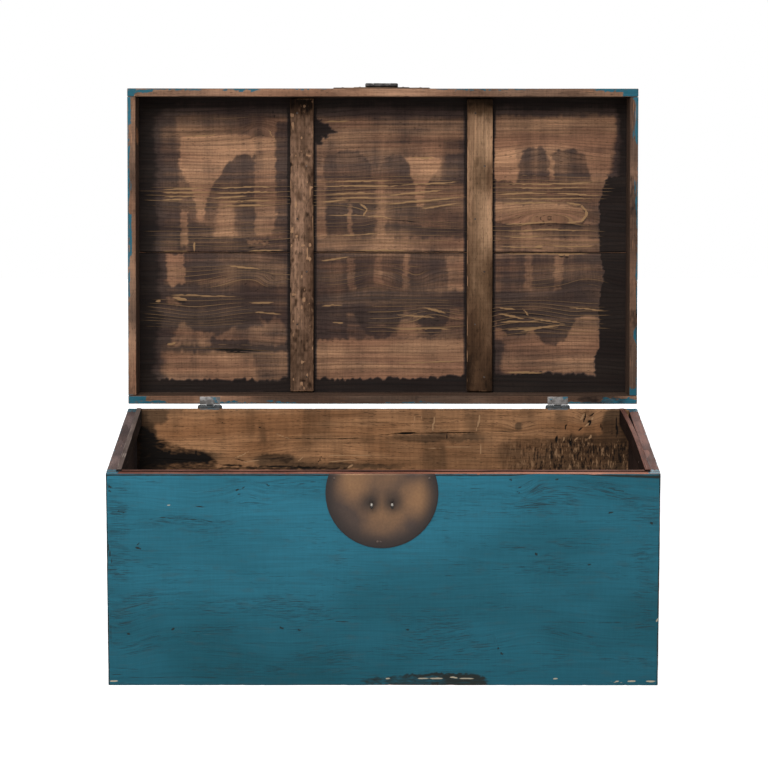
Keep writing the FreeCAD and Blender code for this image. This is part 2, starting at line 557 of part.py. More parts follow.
for side, middle in (("left", "lock_shift - eye_spacing / 2"), ("right", "lock_shift + eye_spacing / 2")):
    eye = doc.addObject("PartDesign::Body", f"{side}_lock_eye")
    bar = new_sketch(eye, f"{side}_eye_bar", "XY_Plane")
    # Half-round bar bent to a ring: its flat side is the hole, its round side faces out
    bore, half_bar, rise = size("eye_bore_radius"), size("eye_bar_width") / 2, size("eye_bar_thick")
    crown_radius = (half_bar ** 2 + rise ** 2) / (2 * rise)
    crown_centre = Vector(0, bore + rise - crown_radius)
    turn = math.atan2(crown_radius - rise, half_bar)
    arc = Part.ArcOfCircle(Part.Circle(crown_centre, up, crown_radius), turn, math.pi - turn)
    bar.addGeometry(arc, False)
    bar.addGeometry(Part.LineSegment(Vector(-half_bar, bore), Vector(half_bar, bore)), False)
    for link in (("Coincident", 0, 2, 1, 1), ("Coincident", 1, 2, 0, 1), ("Horizontal", 1)):
        bar.addConstraint(Sketcher.Constraint(*link))
    dimension(bar, "DistanceX", 1, 1, "left", "0 - eye_bar_width / 2", -half_bar)
    dimension(bar, "DistanceX", 1, 2, "right", "eye_bar_width / 2", half_bar)
    dimension(bar, "DistanceY", 1, 1, "bore", "eye_bore_radius", bore)
    dimension(bar, "DistanceY", 0, 3, "crown", "eye_bore_radius + eye_bar_thick / 2"
              " - eye_bar_width * eye_bar_width / (8 * eye_bar_thick)", crown_centre.y)
    ring = eye.newObject("PartDesign::Revolution", f"{side}_eye_ring")
    ring.Profile = bar
    ring.ReferenceAxis = (bar, ["H_Axis"])
    ring.Angle = 360
    # The two legs go through plate and board together and are clenched up and down inside the box
    legs = new_sketch(eye, f"{side}_eye_legs", "XZ_Plane", "0 - eye_bore_radius - eye_bar_thick / 2")
    leg_radius = size("eye_leg_radius")
    legs.addGeometry(Part.Circle(Vector(0, 0), up, leg_radius), False)
    legs.addConstraint(Sketcher.Constraint("Coincident", 0, 3, -1, 1))
    legs.addConstraint(Sketcher.Constraint("Radius", 0, leg_radius))
    legs.renameConstraint(1, "legs")
    bind(legs, "Constraints.legs", "eye_leg_radius")
    pad(eye, f"{side}_eye_shank", legs,
        "eye_stand - eye_bore_radius - eye_bar_thick / 2 + disc_thick + front_thick + eye_leg_radius",
        reverse=True)
    clench = new_sketch(eye, f"{side}_eye_clench", "XZ_Plane",
                        "0 - eye_stand - disc_thick - front_thick")
    rectangle(clench, "0 - eye_leg_radius", "0 - eye_clench", "eye_leg_radius", "eye_clench")
    pad(eye, f"{side}_eye_ends", clench, "eye_leg_radius", reverse=True)
    keep(eye, f"{side}_lock_eye")
    place(eye, middle, "0 - chest_depth / 2 - disc_thick - eye_stand", "base_height - eye_drop")

# Fixed leaf of the hasp: a plate on the upper lock plate with a knuckle at each end of the barrel
bracket_bore = "hasp_pin_radius + pin_play"
end_knuckle = "( hasp_width - hasp_centre_knuckle ) / 2 - knuckle_play"
hasp_stand = "hasp_barrel_stand + hasp_barrel_radius"
bracket_blank = join("hasp_bracket_blank", [
    block("bracket_plate", "bracket_width", "bracket_thick",
          "bracket_height - hasp_barrel_radius - knuckle_play", "0 - bracket_width / 2",
          f"{hasp_stand} - bracket_thick", "hasp_barrel_radius + knuckle_play"),
    block("bracket_tongue_near", end_knuckle, "bracket_thick", "hasp_barrel_radius + knuckle_play",
          "0 - hasp_width / 2", f"{hasp_stand} - bracket_thick", "0"),
    block("bracket_tongue_far", end_knuckle, "bracket_thick", "hasp_barrel_radius + knuckle_play",
          "hasp_centre_knuckle / 2 + knuckle_play", f"{hasp_stand} - bracket_thick", "0"),
    rod("bracket_knuckle_near", "hasp_barrel_radius", end_knuckle, "0 - hasp_width / 2"),
    rod("bracket_knuckle_far", "hasp_barrel_radius", end_knuckle,
        "hasp_centre_knuckle / 2 + knuckle_play")])
hasp_bracket = cut("hasp_bracket_cut", bracket_blank,
                   rod("bracket_bore", bracket_bore, "2 * hasp_width", "0 - hasp_width"))
keep(hasp_bracket, "hasp_bracket")
place_in_lid(hasp_bracket, "lock_shift", "hasp_axis_u", "hasp_axis_v")

hasp_pin = riveted_pin("hasp_pin", "hasp_pin_radius", "hasp_width",
                       "pin_head_radius", "pin_head_thick")
place_in_lid(hasp_pin, "lock_shift", "hasp_axis_u", "hasp_axis_v")

# The strap is drawn standing up from its pin, as it lies folded back on the lid
strap = doc.addObject("PartDesign::Body", "hasp_strap_body")
strap_plan = new_sketch(strap, "strap_plan", "XZ_Plane", "0 - hasp_thick / 2")
rectangle(strap_plan, "0 - hasp_width / 2", "hasp_barrel_radius + knuckle_play",
          "hasp_width / 2", "hasp_length")
strap_plate = pad(strap, "strap_plate", strap_plan, "hasp_thick")
ease(strap, strap_plate, "strap_tip",
     lambda c: near(c.z, size("hasp_length")) and near(c.y, 0), "hasp_corner")
strap_neck_plan = new_sketch(strap, "strap_neck_plan", "XZ_Plane", "0 - hasp_thick / 2")
rectangle(strap_neck_plan, "0 - hasp_centre_knuckle / 2", "0", "hasp_centre_knuckle / 2",
          "hasp_barrel_radius + 2 * knuckle_play")
pad(strap, "strap_neck", strap_neck_plan, "hasp_thick")
knuckle_plan = new_sketch(strap, "strap_knuckle_plan", "YZ_Plane", "0 - hasp_centre_knuckle / 2")
knuckle_now = size("hasp_barrel_radius")
knuckle_plan.addGeometry(Part.Circle(Vector(0, 0), up, knuckle_now), False)
knuckle_plan.addConstraint(Sketcher.Constraint("Coincident", 0, 3, -1, 1))
knuckle_plan.addConstraint(Sketcher.Constraint("Radius", 0, knuckle_now))
knuckle_plan.renameConstraint(1, "knuckle")
bind(knuckle_plan, "Constraints.knuckle", "hasp_barrel_radius")
pad(strap, "strap_knuckle", knuckle_plan, "hasp_centre_knuckle")
bore_plan = new_sketch(strap, "strap_bore_plan", "YZ_Plane", "0 - hasp_centre_knuckle / 2")
bore_now = evaluate(bracket_bore)
bore_plan.addGeometry(Part.Circle(Vector(0, 0), up, bore_now), False)
bore_plan.addConstraint(Sketcher.Constraint("Coincident", 0, 3, -1, 1))
bore_plan.addConstraint(Sketcher.Constraint("Radius", 0, bore_now))
bore_plan.renameConstraint(1, "bore")
bind(bore_plan, "Constraints.bore", bracket_bore)
pocket(strap, "strap_bore", bore_plan, "hasp_centre_knuckle", reverse=True)
slot_plan = new_sketch(strap, "strap_slot_plan", "XZ_Plane", "0 - hasp_thick / 2")
for side, middle in (("_left", "0 - eye_spacing / 2"), ("_right", "eye_spacing / 2")):
    rectangle(slot_plan, f"{middle} - eye_bar_width / 2 - slot_play",
              "hasp_slot_radius - eye_outer - slot_play",
              f"{middle} + eye_bar_width / 2 + slot_play",
              "hasp_slot_radius + eye_outer + slot_play", side)
pocket(strap, "strap_slots", slot_plan, "hasp_thick", reverse=True)
keep(strap, "hasp_strap")
place_in_lid(strap, "lock_shift", "hasp_axis_u", "hasp_axis_v", turn="0 - hasp_lean_open")


# ---------------------------------------------------------------------------------------------
# Nails: each group is one set of separate wrought nails, placed from the sizes of what they join
# ---------------------------------------------------------------------------------------------
def nail(head_point, way, head_radius, head_thick, shank_radius, length):
    """One nail whose head's underside is at head_point and whose shank runs along way."""
    head = Part.makeCone(head_radius * size("nail_crown_share"), head_radius, head_thick,
                         head_point - way * head_thick, way)
    shank = Part.makeCone(shank_radius, shank_radius * size("nail_point_share"), length, head_point, way)
    return head.fuse(shank)


SMALL = ("nail_head_radius", "nail_head_thick", "nail_radius", "nail_length")
BATTEN = ("nail_head_radius", "nail_head_thick", "nail_radius", "batten_nail_length")
BRAD = ("brad_head_radius", "nail_head_thick", "brad_radius", "brad_length")


def nail_group(label, places, kind, head_above, in_lid=False):
    """Like nails: each place is a point of the surface and the way in, with the head's top above it."""
    sizes = [size(name) for name in kind]
    under_head = size("nail_head_thick") - head_above
    group = doc.addObject("Part::Feature", label)
    group.Shape = Part.makeCompound([nail(point + way * under_head, way, *sizes) for point, way in places])
    if in_lid:
        place_in_lid(group)
    keep(group, label)


def spread(start, end, pitch):
    """Evenly spaced places from start to end, no more than pitch apart."""
    count = max(1, math.ceil((end - start) / pitch))
    return [start + (end - start) * step / count for step in range(count + 1)]


half_width, half_depth, rim = size("chest_width") / 2, size("chest_depth") / 2, size("base_height")
joint_end, board_end, board_pitch = size("brad_end"), size("board_nail_end"), size("board_nail_pitch")
sunk, flush, full_head = -size("brad_sink"), size("flush_nail_proud"), size("nail_head_thick")
rightwards, inwards, upwards = Vector(1, 0, 0), Vector(0, 1, 0), Vector(0, 0, 1)

carcass_places = []
for sign in (-1, 1):
    joint_x = sign * (half_width - size("side_thick") / 2)
    for z in spread(joint_end, rim - joint_end, size("brad_pitch")):
        carcass_places += [(Vector(joint_x, end * half_depth, z), inwards * -end) for end in (-1, 1)]
nail_group("carcass_nails", carcass_places, BRAD, sunk)

nail_group("bottom_nails", [
    (Vector(x, end * half_depth, size("bottom_thick") / 2), inwards * -end)
    for x in spread(-half_width + board_end, half_width - board_end, board_pitch)
    for end in (-1, 1)], BRAD, sunk)

strip_z = rim - size("strip_depth") / 2
strip_x = half_width - size("side_thick") - thick
strip_start = -half_depth + size("front_thick")
strip_places = []
for sign, strip_end in ((-1, half_depth - size("back_thick")), (1, strip_start + straight)):
    for y in spread(strip_start + joint_end, strip_end - joint_end, size("strip_nail_pitch")):
        strip_places.append((Vector(sign * strip_x, y, strip_z), rightwards * sign))
for x in spread(-strip_x + board_end, strip_x - board_end, size("front_strip_nail_pitch")):
    strip_places.append((Vector(x, strip_start + thick, strip_z), inwards * -1))
nail_group("strip_nails", strip_places, SMALL, flush)

lid_low, lid_high, panel = size("lid_low"), size("lid_high"), size("lid_panel")
lid_front, lid_back, rail_thick = size("lid_front"), size("lid_back"), size("rail_thick")
rail_x = half_width - rail_thick / 2
frame_end = size("frame_nail_end")
nail_group("lid_frame_nails", [
    (Vector(sign * rail_x, face, v), way)
    for sign in (-1, 1)
    for v in spread(lid_low + frame_end, panel - frame_end, size("brad_pitch"))
    for face, way in ((lid_front, inwards), (lid_back, inwards * -1))], BRAD, sunk, in_lid=True)

top_places = [
    (Vector(x, u, lid_high), upwards * -1)
    for x in spread(-half_width + board_end, half_width - board_end, board_pitch)
    for u in (lid_front + rail_thick / 2, lid_back - rail_thick / 2)]
top_places += [
    (Vector(sign * rail_x, u, lid_high), upwards * -1)
    for sign in (-1, 1)
    for u in spread(lid_front + board_end, lid_back - board_end, board_pitch)]
nail_group("lid_top_nails", top_places, BRAD, sunk, in_lid=True)

batten_places = []
for middle in (-size("batten_left_centre"), size("batten_right_centre")):
    rows = spread(lid_front + rail_thick + joint_end, lid_back - rail_thick - joint_end,
                  size("batten_nail_pitch"))
    for order, u in enumerate(rows):
        x = middle + size("batten_nail_stagger") * (1 if order % 2 else -1)
        batten_places.append((Vector(x, u, panel - size("batten_thick")), upwards))
nail_group("batten_nails", batten_places, BATTEN, flush, in_lid=True)

hinge_nail_u = -size("hinge_setback") - size("leaf_reach") / 2
hinge_nail_x = [middle + sign * size("hinge_nail_spacing") / 2
                for middle in (-size("hinge_left_centre"), size("hinge_right_centre"))
                for sign in (-1, 1)]
nail_group("base_hinge_nails", [
    (Vector(x, size("hinge_y") + hinge_nail_u, rim), upwards * -1) for x in hinge_nail_x], SMALL, flush)
nail_group("lid_hinge_nails", [
    (Vector(x, hinge_nail_u, lid_low), upwards) for x in hinge_nail_x], SMALL, flush, in_lid=True)

# Each half plate has an outer nail near both ends of its cut edge and a pair near its far rim
lock_x, nail_circle = size("lock_shift"), size("disc_radius") - size("plate_nail_inset")
lean, half_turn = size("nail_pair_lean"), size("nail_pair_turn") / 2


def plate_places(centre_z, face_y, angles):
    """Nail places on the lock plate, at angles about its centre."""
    return [(Vector(lock_x + nail_circle * math.cos(math.radians(angle)), face_y,
                    centre_z + nail_circle * math.sin(math.radians(angle))), inwards) for angle in angles]


low_angle, high_angle = size("lower_nail_angle"), size("upper_nail_angle")
nail_group("lower_plate_nails", plate_places(
    rim - size("disc_drop"), -half_depth - size("disc_thick"),
    (low_angle, 180 - low_angle, 270 - lean - half_turn, 270 - lean + half_turn)), SMALL, full_head)
nail_group("upper_plate_nails", plate_places(
    lid_low - size("rim_gap") - size("disc_drop"), lid_front - size("disc_thick"),
    (high_angle, 180 - high_angle, 90 + lean - half_turn, 90 + lean + half_turn)),
    SMALL, full_head, in_lid=True)

bracket_face = lid_front - size("disc_thick") - size("bracket_thick")
nail_group("hasp_bracket_nails", [
    (Vector(lock_x + sign * (size("bracket_width") + size("hasp_width")) / 4, bracket_face,
            size("hasp_axis_v") + size("bracket_nail_rise")), inwards)
    for sign in (-1, 1)], SMALL, full_head, in_lid=True)

# ---------------------------------------------------------------------------------------------
# Check every object and write one file per piece
# ---------------------------------------------------------------------------------------------
doc.recompute()
for item in doc.Objects:
    if "Invalid" in item.State or "Error" in item.State:
        raise RuntimeError(f"{item.Name} is {item.State}")
os.makedirs("parts", exist_ok=True)
for piece in parts:
    if piece.Shape.isNull() or not piece.Shape.isValid():
        raise RuntimeError(f"{piece.Label} has no valid shape")
    piece.Shape.exportStep(f"parts/{piece.Label}.step")
    print(f"{piece.Label}: {len(piece.Shape.Solids)} solid(s), {piece.Shape.Volume / 1000:.2f} cm3")
lean_open, lean_shut = size("hasp_lean_open"), size("hasp_lean_shut")
print(f"hasp swings {180 + lean_open + lean_shut:.2f} degrees")
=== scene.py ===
import json
import math
from functools import partial
from itertools import product

import bpy
import numpy as np
from mathutils import Matrix, Vector


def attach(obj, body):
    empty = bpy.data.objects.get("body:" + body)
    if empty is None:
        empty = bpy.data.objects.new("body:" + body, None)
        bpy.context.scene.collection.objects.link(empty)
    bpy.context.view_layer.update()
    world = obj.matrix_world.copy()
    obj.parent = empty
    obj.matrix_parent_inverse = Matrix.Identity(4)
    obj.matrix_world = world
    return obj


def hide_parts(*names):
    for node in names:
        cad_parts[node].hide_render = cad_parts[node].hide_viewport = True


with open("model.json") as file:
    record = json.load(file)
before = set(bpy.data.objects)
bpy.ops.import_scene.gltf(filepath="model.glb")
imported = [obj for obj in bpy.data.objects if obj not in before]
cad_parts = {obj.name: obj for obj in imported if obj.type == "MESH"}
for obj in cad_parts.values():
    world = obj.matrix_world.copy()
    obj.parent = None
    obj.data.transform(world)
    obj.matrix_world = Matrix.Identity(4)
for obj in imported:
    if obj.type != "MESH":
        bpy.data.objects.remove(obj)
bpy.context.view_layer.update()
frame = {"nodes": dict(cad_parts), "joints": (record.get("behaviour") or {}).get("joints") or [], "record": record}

# ---------------------------------------------------------------------------------------------
# Room
# A pale, even studio floor that runs out of sight, under a broad soft panel overhead, one in front and
# a weaker one behind, with a little light from all round so that the open box isn't black inside.
# ---------------------------------------------------------------------------------------------
scene = bpy.context.scene
scene.view_settings.view_transform = "Standard"

camera_data = bpy.data.cameras.new("camera")
camera_data.lens = 174.42
camera = bpy.data.objects.new("camera", camera_data)
scene.collection.objects.link(camera)
camera.matrix_world = (
    Matrix.Translation((-0.0113, -6.1777, 1.6011))
    @ Matrix.Rotation(math.radians(-0.12), 4, "Z") @ Matrix.Rotation(math.radians(-10.55), 4, "X")
    @ Matrix.Rotation(math.radians(-0.045), 4, "Y") @ Matrix.Rotation(math.radians(90), 4, "X"))
scene.camera = camera


def linear(code):
    """A colour written as sRGB hex, in linear light."""
    parts = [int(code[start:start + 2], 16) / 255 for start in (0, 2, 4)]
    return (*[part / 12.92 if part <= 0.04045 else ((part + 0.055) / 1.055) ** 2.4 for part in parts], 1)


def add_node(tree, kind, values=(), out=0, **settings):
    """A node with its settings, and one of its outputs back. The values are numbers, colours and links for
    its sockets, in order or by name. A kind is a shader node's unless it says Node itself."""
    item = tree.nodes.new(kind if "Node" in kind else "ShaderNode" + kind)
    for name, value in settings.items():
        setattr(item, name, value)
    for socket, value in values.items() if isinstance(values, dict) else enumerate(values):
        if isinstance(value, bpy.types.NodeSocket):
            tree.links.new(value, item.inputs[socket])
        else:
            item.inputs[socket].default_value = value
    return item.outputs[out] if item.outputs else None


def bare_finish(name):
    """A new material and its node tree, with nothing in it yet."""
    material = bpy.data.materials.new(name)
    material.use_nodes = True
    material.node_tree.nodes.clear()
    return material, material.node_tree


def seen_directly(tree):
    """1 where a ray comes from the camera, a mirror or glass, so that these show a white room."""
    path = tree.nodes.new("ShaderNodeLightPath").outputs
    first = add_node(tree, "Math", (path["Is Camera Ray"], path["Is Glossy Ray"]), operation="MAXIMUM")
    return add_node(tree, "Math", (first, path["Is Transmission Ray"]), operation="MAXIMUM")


world = bpy.data.worlds.new("studio")
world.use_nodes = True
scene.world = world
tree = world.node_tree
tree.nodes.clear()
fill_light = add_node(tree, "Background", (linear("FFFFFF"), 0.13))
white_room = add_node(tree, "Background", (linear("FFFFFF"), 1.0))
add_node(tree, "OutputWorld", (add_node(tree, "MixShader", (seen_directly(tree), fill_light, white_room)),))

# Matt white background paper, which shows as white and still takes the chest's shadow.
floor_finish, tree = bare_finish("studio paper")
paper = add_node(tree, "BsdfDiffuse", (linear("F4F4F4"),))
glow = add_node(tree, "Emission", (linear("FFFFFF"), 0.8))
lit_paper = add_node(tree, "AddShader", (paper, glow))
add_node(tree, "OutputMaterial", (add_node(tree, "MixShader", (seen_directly(tree), paper, lit_paper)),))

floor_mesh = bpy.data.meshes.new("floor")
floor_mesh.from_pydata([(-4, -5, 0), (4, -5, 0), (4, 4, 0), (-4, 4, 0)], [], [(0, 1, 2, 3)])
floor_mesh.materials.append(floor_finish)
floor = bpy.data.objects.new("floor", floor_mesh)
scene.collection.objects.link(floor)

for name, place, aim, size, power in (
        ("overhead panel", (-0.3, -2.2, 3.4), (0, 0.1, 0.35), 2.0, 52),
        ("front panel", (-1.0, -4.4, 2.9), (0, 0, 0.45), 1.5, 100),
        ("rear panel", (0.9, 4.4, 2.9), (0, 0, 0.45), 1.5, 75)):
    lamp_data = bpy.data.lights.new(name, "AREA")
    lamp_data.size = size
    lamp_data.energy = power
    lamp = bpy.data.objects.new(name, lamp_data)
    scene.collection.objects.link(lamp)
    lamp.location = place
    lamp.rotation_euler = (Vector(aim) - Vector(place)).to_track_quat("-Z", "Y").to_euler()


# ---------------------------------------------------------------------------------------------
# Front board of the box
# One wide softwood board, brushed with teal casein paint over a red-brown ground that shows where
# the rim and arrises are rubbed. Fine drying checks, dents and a scraped foot break the paint.
# ---------------------------------------------------------------------------------------------
SIDES = (("left", 0, 0), ("right", 0, 1), ("front", 1, 0), ("back", 1, 1), ("under", 2, 0), ("top", 2, 1))


def drift(points, cell, seed):
    """A smooth random field from -1 to 1, whose hills are about a cell across (mm)."""
    steps = points / np.asarray(cell, float)
    base = np.floor(steps).astype(np.int64)
    part = steps - base
    part = part * part * (3 - 2 * part)
    total = np.zeros(len(points))
    for corner in product((0, 1), repeat=3):
        at = base + corner
        mixed = (at[:, 0] * 73856093 ^ at[:, 1] * 19349663 ^ at[:, 2] * 83492791 ^ seed * 50331653)
        mixed = ((mixed & 0xffffffff) ^ ((mixed & 0xffffffff) >> 13)) * 1274126177 & 0xffffffff
        value = ((mixed ^ (mixed >> 16)) & 0xffff) / 32767.5 - 1
        total += value * np.prod(np.where(corner, part, 1 - part), axis=1)
    return total


def rise(value, start, end):
    """0 below start, 1 above end, and a smooth step between."""
    share = np.clip((value - start) / (end - start), 0, 1)
    return share * share * (3 - 2 * share)


def brushed(first, second, laps, level, seed, points, edge=1.8):
    """Tones laid over each other: laps are centres, half sizes and tones, with ragged edges."""
    first = first + 3.0 * drift(points, (22, 22, 22), seed) + 3.5 * drift(points, (60, 3.5, 3.5), seed + 1)
    second = second + 3.0 * drift(points, (22, 22, 22), seed + 2)
    second = second + 3.0 * drift(points, (4, 60, 60), seed + 3)
    tone = np.full(len(points), float(level))
    for middle_a, middle_b, half_a, half_b, strength in laps:
        reach = (np.abs((first - middle_a) / half_a) ** 3.2
                 + np.abs((second - middle_b) / half_b) ** 3.2) ** (1 / 3.2)
        soft = min(0.3, edge / min(half_a, half_b))
        cover = 1 - rise(reach, 1 - soft, 1 + soft)
        tone += (strength - tone) * cover
    return tone


def ruler(low, high, pitch, worn, extra):
    """Lattice lines from low to high: close together at the worn ends, even between, with extra ones."""
    ends = worn * np.array([0, 0.3, 0.65, 1.1, 1.8])
    inner = np.linspace(low + 2.6 * worn, high - 2.6 * worn, max(2, round((high - low) / pitch)))
    lines = np.unique(np.round(np.concatenate([low + ends, inner, high - ends, extra]), 3))
    lines = lines[(lines >= low) & (lines <= high)]
    return lines[np.concatenate([[True], np.diff(lines) > 0.12])]


def coarse_faces(sheet, border, block):
    """Faces over a sheet of points: every cell near its border, and blocks of cells joined within it."""
    rows, columns = (size - 1 for size in sheet.shape)
    cells = np.stack([sheet[:-1, :-1], sheet[1:, :-1], sheet[1:, 1:], sheet[:-1, 1:]], -1)
    ring = np.ones((rows, columns), bool)
    ring[border:rows - border, border:columns - border] = False
    faces = cells[ring].tolist()
    lines = [np.append(np.arange(border, count - border, block), count - border) for count in (rows, columns)]
    for (top, low), (first, last) in product(zip(lines[0], lines[0][1:]), zip(lines[1], lines[1][1:])):
        sides = ((sheet[top:low + 1, first], first == border),
                 (sheet[low, first:last + 1], low == rows - border),
                 (sheet[top:low + 1, last][::-1], last == columns - border),
                 (sheet[top, first:last + 1][::-1], top == border))
        faces.append([point for side, on_ring in sides for point in (side[:-1] if on_ring else side[:1])])
    return faces


def lattice_shell(rulers, plain=None):
    """Points and outward faces of a closed box surface whose six sides share their edges. The plain
    side, which is out of sight, has faces four lattice lines wide."""
    counts = [len(lines) for lines in rulers]
    grid = np.stack(np.meshgrid(*rulers, indexing="ij"), -1)
    index = np.arange(grid[..., 0].size).reshape(counts)
    faces = []
    for axis, end in product(range(3), (0, -1)):
        sheet = np.take(index, end, axis)
        patch = coarse_faces(sheet, 8, 4 if (axis, end) == plain else 1)
        faces += patch if (axis != 1) == (end == -1) else [face[::-1] for face in patch]
    used = np.unique(np.concatenate(faces))
    number = np.full(index.size, -1)
    number[used] = np.arange(len(used))
    return grid.reshape(-1, 3)[used], [number[face].tolist() for face in faces]


def solid(node, points, faces, place, material, values, body):
    """A mesh piece from points in mm in its drawing frame, with values at its points for the finish."""
    mesh = bpy.data.meshes.new(f"{node}_piece")
    mesh.from_pydata((points / 1000).tolist(), [], faces)
    mesh.transform(place)
    mesh.polygons.foreach_set("use_smooth", np.ones(len(faces), bool))
    for key, value in values.items():
        kind, field = ("FLOAT_VECTOR", "vector") if value.ndim == 2 else ("FLOAT", "value")
        mesh.attributes.new(key, kind, "POINT").data.foreach_set(field, value.astype(np.float32).ravel())
    mesh.materials.append(material)
    mesh.update()
    piece = bpy.data.objects.new(f"{node}_piece", mesh)
    scene.collection.objects.link(piece)
    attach(piece, body)
    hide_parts(node)


def drawn_box(node, place):
    """A CAD node's lowest and highest corners in mm, in the frame it is drawn in."""
    back = np.array(place.inverted())
    corners = np.array([vertex.co for vertex in frame["nodes"][node].data.vertices])
    corners = (corners @ back[:3, :3].T + back[:3, 3]) * 1000
    return corners.min(0), corners.max(0)


def plank(node, pitch, wear, material, body="chest", place=Matrix(), arris=1.2, worn=1.0,
          chips=1.5, splits=(), knots=(), seed=1, bend=None, closed=(0, 0), plain=None):
    """A worn board in place of a CAD node, drawn flat at its place.

    pitch is the lattice along and across the grain. wear(points, on, edge) gives the depth cut away and the
    values that the finish reads, from which side each point is on and how far it is from an edge. arris,
    worn and chips round the edges: everywhere, in long worn places and in small chips. Splits are cracks
    along the grain: start, end, across, climb, width, depth, step and the side they open on. Knots turn
    the grain: along, across, reaches and strength. closed widens the board to meet its neighbours, bend
    bows it, and the plain side, which is out of sight, has fewer faces.
    """
    low, high = drawn_box(node, place)
    through, across, along = np.argsort(high - low)
    low[across] -= closed[0]
    high[across] += closed[1]
    extent = high - low
    arris = min(arris, extent[through] * 0.3)
    rulers = [None] * 3
    steps = {along: pitch[0], across: pitch[1], through: 3.5}
    opened = [split[2] + offset * split[4] for split in splits for offset in (-1.2, 0, 1.2)]
    for axis in range(3):
        rulers[axis] = ruler(low[axis], high[axis], steps[axis], arris, opened if axis == across else [])
    hidden = next(((axis, -1 if end else 0) for side, axis, end in SIDES if side == plain), None)
    flat, faces = lattice_shell(rulers, hidden)
    on = {side: flat[:, axis] == rulers[axis][-1 if end else 0] for side, axis, end in SIDES}
    edge = np.sort(np.concatenate([flat - low, high - flat], 1), axis=1)[:, 1]

    cut, values = wear(flat, on, edge)
    values.setdefault("dirt", np.zeros(len(flat)))
    values.setdefault("faded", np.full(len(flat), 0.6))
    moved = flat.copy()
    for start, end, middle, climb, width, depth, step, side in splits:
        share = (flat[:, along] - start) / (end - start)
        wander = climb * (share - 0.5) + 1.2 * drift(flat * (1, 1, 0), (38, 900, 900), int(seed + start))
        wander = wander * rise(share, -0.3, 0) * (1 - rise(share, 1, 1.3))
        reach = 12 + 1.5 * abs(climb)
        off = flat[:, across] - middle
        moved[:, across] += wander * np.clip(1 - np.abs(off) / reach, 0, 1) * rise(edge, 0, 4) * on[side]
        open_here = rise(share, 0, 0.12) * (1 - rise(share, 0.8, 1)) * on[side]
        ragged = 0.55 + 0.45 * drift(flat, (14, 900, 900), int(seed + end))
        centre = np.abs(off) < 0.1
        cut = np.maximum(cut, centre * open_here * depth * ragged)
        cut += open_here * step * np.where((off < 0.1) & (off > -60), np.exp(np.minimum(off, 0) / 18), 0)
        values["dirt"] = np.maximum(values["dirt"], centre * open_here * (0.4 + 0.6 * ragged))

    radius = arris + worn * rise(drift(flat, (42, 42, 42), seed + 7), -0.2, 0.8)
    radius += chips * rise(drift(flat, (11, 11, 11), seed + 8), 0.45, 0.8)
    radius = np.minimum(radius, extent[through] * 0.42)[:, None]
    core = np.clip(moved, low + radius, high - radius)
    outward = moved - core
    outward /= np.linalg.norm(outward, axis=1)[:, None]
    points = core + outward * (radius - cut[:, None])
    if bend is not None:
        points = bend(points)

    sway = min(9, 0.035 * extent[across])
    long_waves, short_waves = np.full(3, 400.0), np.full(3, 400.0)
    long_waves[[along, across]] = 310, 55
    short_waves[[along, across]] = 120, 22
    flow = sway * (drift(flat, long_waves, seed + 20) + 0.35 * drift(flat, short_waves, seed + 21))
    for a, b, reach_a, reach_b, strength in knots:
        away = ((flat[:, along] - a) / reach_a) ** 2 + ((flat[:, across] - b) / reach_b) ** 2
        flow += strength * np.exp(-away)
    grain = np.stack([flat[:, along], flat[:, across] + flow, flat[:, through]], 1)
    values["grain"] = grain / 1000 + seed * 1.37
    values["bared"] = rise(1 - np.abs(outward).max(1), 0.03, 0.2)
    solid(node, points, faces, place, material, values, body)


def marked(first, second, strokes, points, seed, ragged=1.2, sway=0.0, spread=1.0):
    """How near points are to the middle of some strokes: 1 there, 0 outside. Strokes are from, to and
    half width in mm, and a round dent is a short stroke. Sway bends neighbouring strokes together."""
    first = first + ragged * drift(points, (6, 6, 6), seed)
    second = second + 0.5 * ragged * drift(points, (6, 6, 6), seed + 1)
    second = second + sway * drift(points, (48, 48, 48), seed + 2)
    depth = np.zeros(len(points))
    for a0, b0, a1, b1, half in strokes:
        strength = min(1.0, 0.25 + 0.5 * half)
        half = max(half, 1.15) * spread
        turn = math.atan2(b1 - b0, a1 - a0)
        off_a, off_b = first - (a0 + a1) / 2, second - (b0 + b1) / 2
        along = (off_a * math.cos(turn) + off_b * math.sin(turn)) / (math.hypot(a1 - a0, b1 - b0) / 2 + half)
        aside = (off_b * math.cos(turn) - off_a * math.sin(turn)) / half
        depth = np.maximum(depth, strength * (1 - rise(np.hypot(along, aside), 0.45, 1.35)))
    return depth


def outlined(first, second, patches, level, seed, points):
    """Tones laid within drawn outlines, over each other: a tone, how soft its edge is, and its corners."""
    first = first + 2.5 * drift(points, (18, 18, 18), seed) + 3.2 * drift(points, (60, 3.5, 3.5), seed + 1)
    second = second + 2.5 * drift(points, (18, 18, 18), seed + 2)
    second = second + 4.0 * drift(points, (4.5, 60, 60), seed + 3)
    tone = np.full(len(points), float(level))
    for strength, soft, *corners in patches:
        within = np.zeros(len(points), bool)
        gap = np.full(len(points), np.inf)
        for (a0, b0), (a1, b1) in zip(corners, corners[1:] + corners[:1]):
            if b0 != b1:
                crossing = (a1 - a0) * (second - b0) / (b1 - b0) + a0
                within ^= ((b0 > second) != (b1 > second)) & (first < crossing)
            share = ((first - a0) * (a1 - a0) + (second - b0) * (b1 - b0)) / ((a1 - a0) ** 2 + (b1 - b0) ** 2)
            share = np.clip(share, 0, 1)
            gap = np.minimum(gap, np.hypot(first - a0 - share * (a1 - a0), second - b0 - share * (b1 - b0)))
        tone += (strength - tone) * rise(np.where(within, gap, -gap), -soft, soft)
    return tone


# The paint's colours: pale where thin and faded and where painted light falls on the upper front, deep where
# thick, and in its checks
TEAL, DEEP_TEAL, CHECK_DARK = "2E7489", "164F5C", "22343A"
